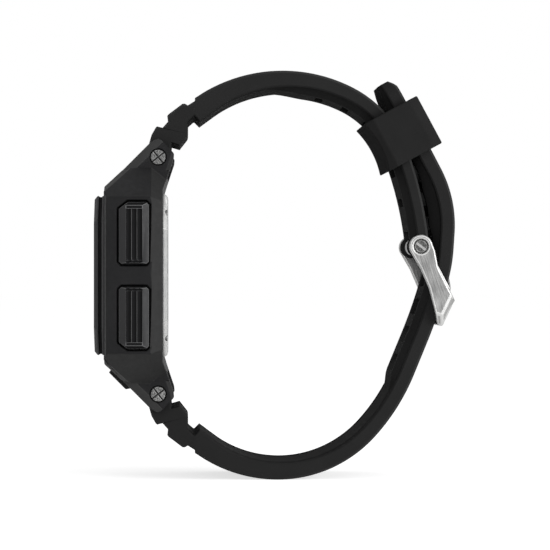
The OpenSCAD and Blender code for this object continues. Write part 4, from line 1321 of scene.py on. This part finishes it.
@dataclass
class CaseShell:
    """The moulded case with its bezel, pad, back and lug screws."""

    groove: Pair = (-13.3, -12.7)
    filler_z: Pair = (14.6, 15.3)
    filler_half: float = 11.9
    filler_slant: float = 0.4
    level: float = 0.02
    forward: float = -0.2
    aside: float = 0.25
    steep: float = 0.3
    screw: ScrewHead = ScrewHead(radius=1.45, thickness=0.85, cuts=4, turn=38.0, slot=0.34)

    def build(self) -> None:
        """Round the edges of what shows and dress what doesn't."""
        self.body()
        self.bezel()
        rounded_copy("hood_plate", "case", Coat(Look.case, "case", 0.15))
        self.back()
        rounded_copy("case_back_screws", "case", Coat(Look.back, "steel", 0.05))
        self.lug_screws()
        rounded_copy("crystal", "case", Coat(Look.glass, "crystal", 0.15))
        for node in ("strap_pin_12", "strap_pin_6"):
            dress(node, Look.pin)

    def body(self) -> None:
        """Round the case, and paint light by facing: its slopes' front facets, and its facets turned back
        or down, take paler copies of the resin.
        """
        coat = Coat(Look.case, "case", 0.22, 3, 9.0, more=(Look.case_slope, Look.case_rear_lit))
        for face in rounded_copy("case_body", "case", coat).data.polygons:
            x, y, z = face.normal
            # Painted light: paler resin on the slopes' front facets, and on facets turned back or down.
            if abs(y) >= self.aside and x < self.forward and abs(z) > self.aside:
                face.material_index = SECOND
            elif abs(y) >= self.aside and (x > self.steep or z < -self.steep):
                face.material_index = THIRD

    def bezel(self) -> None:
        """Round the bezel, paint shade into its groove and a highlight on the step behind it, and fill the
        groove above and below, where none shows, with dark fillers of the same painted shade.
        """
        coat = Coat(Look.bezel, "bezel", 0.12, more=(Look.bezel_groove, Look.bezel_step_highlight))
        for face in rounded_copy("bezel", "case", coat).data.polygons:
            place = face.center.x / MM
            # Painted shade in the groove, painted highlight on the step behind it.
            if place > self.groove[0] - self.level:
                face.material_index = SECOND if place < self.groove[1] + self.level else THIRD
        # Dark fillers in painted shade where the groove doesn't show.
        shape = Shape("bezel_fillers")
        (low, high), half = self.filler_z, self.filler_half
        wide = half + self.filler_slant
        for side in (-1, 1):
            flat = [(-wide, side * low), (wide, side * low), (half, side * high), (-half, side * high)]
            shape.prism(flat, *self.groove)
        shape.piece("case", Coat(Look.bezel_groove, "bezel"))

    def back(self) -> None:
        """Round the case back, with a painted highlight on its cut corners."""
        coat = Coat(Look.back, "steel", 0.1, more=(Look.back_corner,))
        for face in rounded_copy("case_back", "case", coat).data.polygons:
            if abs(face.normal.y) > self.steep and abs(face.normal.z) > self.steep:
                face.material_index = SECOND

    def lug_screws(self) -> None:
        """Build the four screws at the lugs, each with crossed slots."""
        low, high = box_mm("lug_screws")
        shape = Shape("lug_crossed_screws")
        for y in (low.y, high.y):
            for z in (low.z + self.screw.radius, high.z - self.screw.radius):
                self.screw.add(shape, (low.x + high.x) / 2, y, z)
        # Painted highlight on the rims and painted shade in the slots.
        coat = Coat(Look.screw, "steel", more=(Look.screw_rim, Look.screw_slot))
        shape.piece("case", coat, "lug_screws")


@dataclass
class Seals:
    """The rubber gaskets, each a soft ring of rounded section."""

    crystal: Pair = (1.3, 3.0)
    case_back: Pair = (1.15, 8.6)
    stem_d: float = 1.8
    ring_r: float = 0.26
    gap: float = 0.07
    cap_x: float = -6.35
    cap_z: float = 8.1
    ring_sides: int = 32
    section_sides: int = 12

    def build(self) -> None:
        """Build every gasket."""
        coat = Coat(Look.seal, "gasket")
        self.flat_ring("crystal_seal", coat, "crystal_gasket", *self.crystal)
        self.flat_ring("case_back_seal", coat, "case_back_gasket", *self.case_back)
        shape = Shape("pusher_seals")
        big = self.stem_d / 2 + self.gap + self.ring_r
        reach = box_mm("pusher_gaskets")[1].y - self.ring_r
        small, around = circle(self.section_sides), circle(self.ring_sides)
        for y in (-reach, reach):
            for z in (-self.cap_z, self.cap_z):
                section = [(big + self.ring_r * c, y + self.ring_r * s) for c, s in small]
                rings = [[(self.cap_x + r * a, v, z + r * b) for a, b in around] for r, v in section]
                shape.loft(rings, False)
        shape.piece("case", coat, "pusher_gaskets")

    def flat_ring(self, name: str, coat: Coat, node: str, wide: float, corner: float) -> None:
        """Build a ring that lies flat across the watch, in the place of its CAD node.

        Args:
            name: The piece's name.
            coat: Its finish.
            node: The CAD node.
            wide: The width of its section.
            corner: The cut of its corners.
        """
        low, high = box_mm(node)
        mid, half = (low.x + high.x) / 2, (high.x - low.x) / 2
        shape = Shape(name)
        rings = []
        for c, s in circle(self.section_sides):
            inset = wide / 2 * (1 - c)
            size = [b - a - 2 * inset for a, b in zip(low.yz, high.yz)]
            outline = cut_rectangle(*size, corner - inset * CORNER_SHARE)
            rings.append([(mid + half * s, y, z) for y, z in outline])
        shape.loft(rings, False)
        shape.piece("case", coat, node)


@dataclass
class Movement:
    """What lies behind the crystal: mask, display, board, battery and buzzer."""

    window: Pair = (19.6, 13.6)
    mask_x: float = -9.9
    film_x: float = -9.45
    raised: float = 0.03
    step: float = 0.72
    narrow: float = 0.5
    sign_w: float = 0.5
    bar: float = 0.13
    parting: float = 0.2
    dot: float = 1.1
    dot_at: float = 0.2
    hyphen: float = 0.22
    line: tuple[Pair, Pair] = ((1.5, 1.4), (1.1, 1.3))
    mark_at: float = 2.0
    mark_pitch: float = 2.9
    mark_half: float = 0.11
    marks: int = 3
    mark_tall: tuple[float, ...] = (0.75, 0.45, 0.45)
    rows: tuple[tuple[str, float, float, float], ...] = (
        ("10:58", -2.1, -1.3, 4.7),
        ("36", 7.4, -2.25, 2.8),
        ("12-24", 4.0, 4.2, 2.4),
    )

    def build(self) -> None:
        """Dress the movement, draw the display and print its border."""
        plain = {
            "dial_mask": Look.mask,
            "lcd_panel": Look.lcd,
            "light_panel": Look.light,
            "lcd_frame": Look.inner,
            "circuit_board": Look.board,
            "battery_holder": Look.inner,
            "battery": Look.battery,
            "battery_clip": Look.pin,
            "buzzer_disc": Look.brass,
        }
        for node, finish in plain.items():
            dress(node, finish)
        rounded_copy("zebra_strips", "case", Coat(Look.zebra, "zebra", 0.12))
        shape = Shape("display_digits")
        for row in self.rows:
            self.draw(shape, *row)
        shape.piece("case", Coat(Look.digit, "lcd"))
        self.border()

    def draw(self, shape: Shape, text: str, middle: float, up: float, height: float) -> None:
        """Draw a row of seven-segment digits.

        Args:
            shape: The shape being built.
            text: Digits, with a colon or a hyphen.
            middle: The row's middle, to the right of the watch's middle.
            up: The row's middle, above the watch's middle.
            height: The digits' height.
        """
        steps = [height * self.step * (self.narrow if sign in ":-" else 1.0) for sign in text]
        across = middle - sum(steps) / 2
        for sign, step in zip(text, steps):
            middle = across + step / 2
            for flat in self.outlines(sign, height):
                flat = [(-(middle + u), up + v) for u, v in flat]
                shape.prism(flat, self.film_x - self.raised, self.film_x)
            across += step

    def outlines(self, sign: str, height: float) -> list[list[Pair]]:
        """Outline the bars of a digit, a colon or a hyphen, round its middle.

        Args:
            sign: What to draw.
            height: Its height.

        Returns:
            The outlines, pointed at both ends in a digit.
        """
        bar = height * self.bar
        rise, wide = height / 2 - bar / 2, height * self.sign_w - bar
        sizes = {True: (wide - bar * self.parting, bar), False: (bar, rise - bar * self.parting)}
        lit = [segment.value for segment in Segment if sign in segment.value[3]]
        bars = [(x * wide / 2, z * rise, *sizes[flat], bar / 2) for x, z, flat, _ in lit]
        if sign == ":":
            size, up = bar * self.dot, height * self.dot_at
            bars = [(0.0, step, size, size, 0.0) for step in (-up, up)]
        elif sign == "-":
            bars = [(0.0, 0.0, height * self.hyphen, bar, 0.0)]
        found = []
        for x, z, w, h, point in bars:
            a, b = w / 2, h / 2
            half = [(-a, -b), (a, -b)]
            if point and w > h:
                half = [(-a, 0.0), (point - a, -b), (a - point, -b)]
            elif point:
                half = [(0.0, -b), (a, point - b), (a, b - point)]
            found.append([(x + u, z + v) for u, v in turned(half)])
        return found

    def border(self) -> None:
        """Print a thin pale line and a few marks round the display's window."""
        shape = Shape("mask_print")
        w, h = self.window
        outside, inside = (cut_rectangle(w + more, h + more, corner) for more, corner in self.line)
        front = self.mask_x - self.raised
        loops = ((front, outside), (front, inside), (self.mask_x, inside), (self.mask_x, outside))
        shape.loft([[(x, y, z) for y, z in loop] for x, loop in loops], False)
        for z in (-h / 2 - self.mark_at, h / 2 + self.mark_at):
            for k in range(-self.marks, self.marks + 1):
                tall = self.mark_tall[k % len(self.mark_tall)]
                flat = turned([(-self.mark_half, -tall), (self.mark_half, -tall)])
                shape.prism([(k * self.mark_pitch + u, z + v) for u, v in flat], front, self.mask_x)
        shape.piece("case", Coat(Look.pale_print, "mask"))


@dataclass
class Pusher:
    """One sprung pusher: ribbed cap, stem, clip and spring."""

    place: int
    wire: float = 0.34
    turns: int = 4
    steps: int = 24
    wire_sides: int = 8
    coil_r: float = 1.4
    travel: float = 0.8
    groove_depth: Pair = (0.03, 0.5)
    groove_field: Pair = (1.75, 5.0)
    flat: float = 0.99
    aside: float = 0.3
    sloped: float = 0.25

    def build(self) -> None:
        """Build the pusher's pieces."""
        # Painted highlight on the cap's rounded edges; painted shade on its flats, end slopes and grooves.
        coat = Coat(Look.cap, "cap", 0.08, 2, 26.0, more=(Look.cap_edge, Look.cap_groove), edge_highlight_and_wear=True)
        self.mark_grooves(rounded_copy(f"pusher_cap_{self.place}", f"pusher_{self.place}", coat))
        dress(f"pusher_stem_{self.place}", Look.pin)
        dress(f"pusher_clip_{self.place}", Look.pin)
        self.wind_spring()

    def mark_grooves(self, cap: Piece) -> None:
        """Paint shade on the cap's flats, end slopes and grooves, which take the darker groove material.

        Args:
            cap: The cap.
        """
        low, high = box_mm(f"pusher_cap_{self.place}")
        mid, reach = (low + high) / 2, max(-low.y, high.y)
        for face in cap.data.polygons:
            spot = face.center / MM
            depth = reach - abs(spot.y)
            field = self.groove_field
            within = abs(spot.x - mid.x) < field[0] and abs(spot.z - mid.z) < field[1]
            groove = within and self.groove_depth[0] < depth < self.groove_depth[1]
            y, z = abs(face.normal.y), abs(face.normal.z)
            ends = y > self.aside and (z > self.sloped or y > self.flat)
            if groove or (ends and depth < self.groove_depth[1]):
                face.material_index = THIRD

    def wind_spring(self) -> None:
        """Wind the round spring in the place of its CAD coil."""
        node = f"pusher_spring_{self.place}"
        low, high = box_mm(node)
        mid, thick = (low + high) / 2, self.wire / 2
        start, end = low.y + thick, high.y - thick
        shape = Shape(f"spring_{self.place}")
        count = self.turns * self.steps
        rings = []
        for k in range(count + 1):
            a, y = -math.tau * self.turns * k / count, start + (end - start) * k / count
            ring = [(self.coil_r + thick * c, y + thick * s) for c, s in circle(self.wire_sides)]
            rings.append([(mid.x + r * math.cos(a), v, mid.z + r * math.sin(a)) for r, v in ring])
        shape.loft(rings)
        spring = shape.piece(f"pusher_{self.place}", Coat(Look.pin, "steel"), node)
        press = f"pusher_{self.place}_press"
        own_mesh(spring)


@dataclass
class Studio:
    """The camera, the lights, the white surroundings and the pale floor."""

    eye: Point = (3.4, -513.0, 0.1)
    aim: Point = (21.4, 0.0, 0.1)
    lens: float = 167.9
    sensor: float = 36.0
    clip: Pair = (0.01, 20.0)
    ambient: float = 0.4
    lit: Point = (20.0, 0.0, 0.0)
    lights: tuple[tuple[str, Point, float, float], ...] = (
        ("key_light", (450.0, -300.0, 90.0), 300.0, 1.8),
        ("fill_light", (-60.0, -530.0, 80.0), 360.0, 0.8),
        ("top_light", (60.0, -60.0, 520.0), 420.0, 0.25),
    )
    paper: tuple[float, ...] = (0.8, 0.8, 0.8, 1.0)
    paper_rough: float = 0.9
    glow: float = 0.68
    floor_half: float = 4.0

    def build(self, ground: float) -> None:
        """Set up everything round the watch: white to the camera and to reflections, plainer as a light.

        Args:
            ground: The floor's height in metres.
        """
        scene = bpy.context.scene
        scene.view_settings.view_transform = "Standard"
        camera = bpy.data.cameras.new("camera")
        camera.lens = self.lens
        camera.sensor_width = self.sensor
        camera.clip_start, camera.clip_end = self.clip
        scene.camera = self.hang(camera, self.eye, self.aim)
        scene.world = bpy.data.worlds.new("surroundings")
        graph = Graph(scene.world, "Background")
        graph.fill(graph.shader, {"Color": WHITE, "Strength": graph.seen(self.ambient, 1.0)})
        self.floor(ground)
        for name, place, size, power in self.lights:
            light = bpy.data.lights.new(name, "AREA")
            light.size = size * MM
            light.energy = power
            self.hang(light, place, self.lit)

    @staticmethod
    def hang(data: bpy.types.Camera | bpy.types.Light, place: Point, aim: Point) -> Piece:
        """Put a camera or a light at a place, turned toward another place.

        Args:
            data: The camera or the light.
            place: Where it hangs.
            aim: What it looks at.

        Returns:
            Its object.
        """
        thing = bpy.data.objects.new(data.name, data)
        bpy.context.scene.collection.objects.link(thing)
        thing.location = Vector(place) * MM
        thing.rotation_euler = (Vector(aim) * MM - thing.location).to_track_quat("-Z", "Y").to_euler()
        return thing

    def floor(self, ground: float) -> None:
        """Lay a large pale floor that keeps the watch's soft shadow.

        Args:
            ground: Its height in metres.
        """
        mesh = bpy.data.meshes.new("floor")
        half = self.floor_half
        corners = turned([(-half, -half), (half, -half)])
        mesh.from_pydata([(x, y, ground) for x, y in corners], [], [(0, 1, 2, 3)])
        floor = bpy.data.objects.new("floor", mesh)
        bpy.context.scene.collection.objects.link(floor)
        material = bpy.data.materials.new("floor_paper")
        graph = Graph(material)
        glow = {"Emission Color": WHITE, "Emission Strength": graph.seen(0.0, self.glow)}
        graph.surface(self.paper, self.paper_rough, {"Specular IOR Level": 0.0, **glow})
        mesh.materials.append(material)
        floor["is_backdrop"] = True


def main() -> None:
    """Build the watch and its surroundings."""
    logging.basicConfig(level=logging.INFO, format="%(name)s: %(message)s")
    before = [list(corner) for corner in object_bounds()]
    sizes = StrapSizes()
    Studio().build(before[0][2])
    CaseShell().build()
    Seals().build()
    Movement().build()
    for place in (2, 4, 8, 10):
        Pusher(place).build()
    Strap(sizes).build()
    Keeper(sizes).build()
    Buckle(sizes).build()


if __name__ == "__main__":
    main()
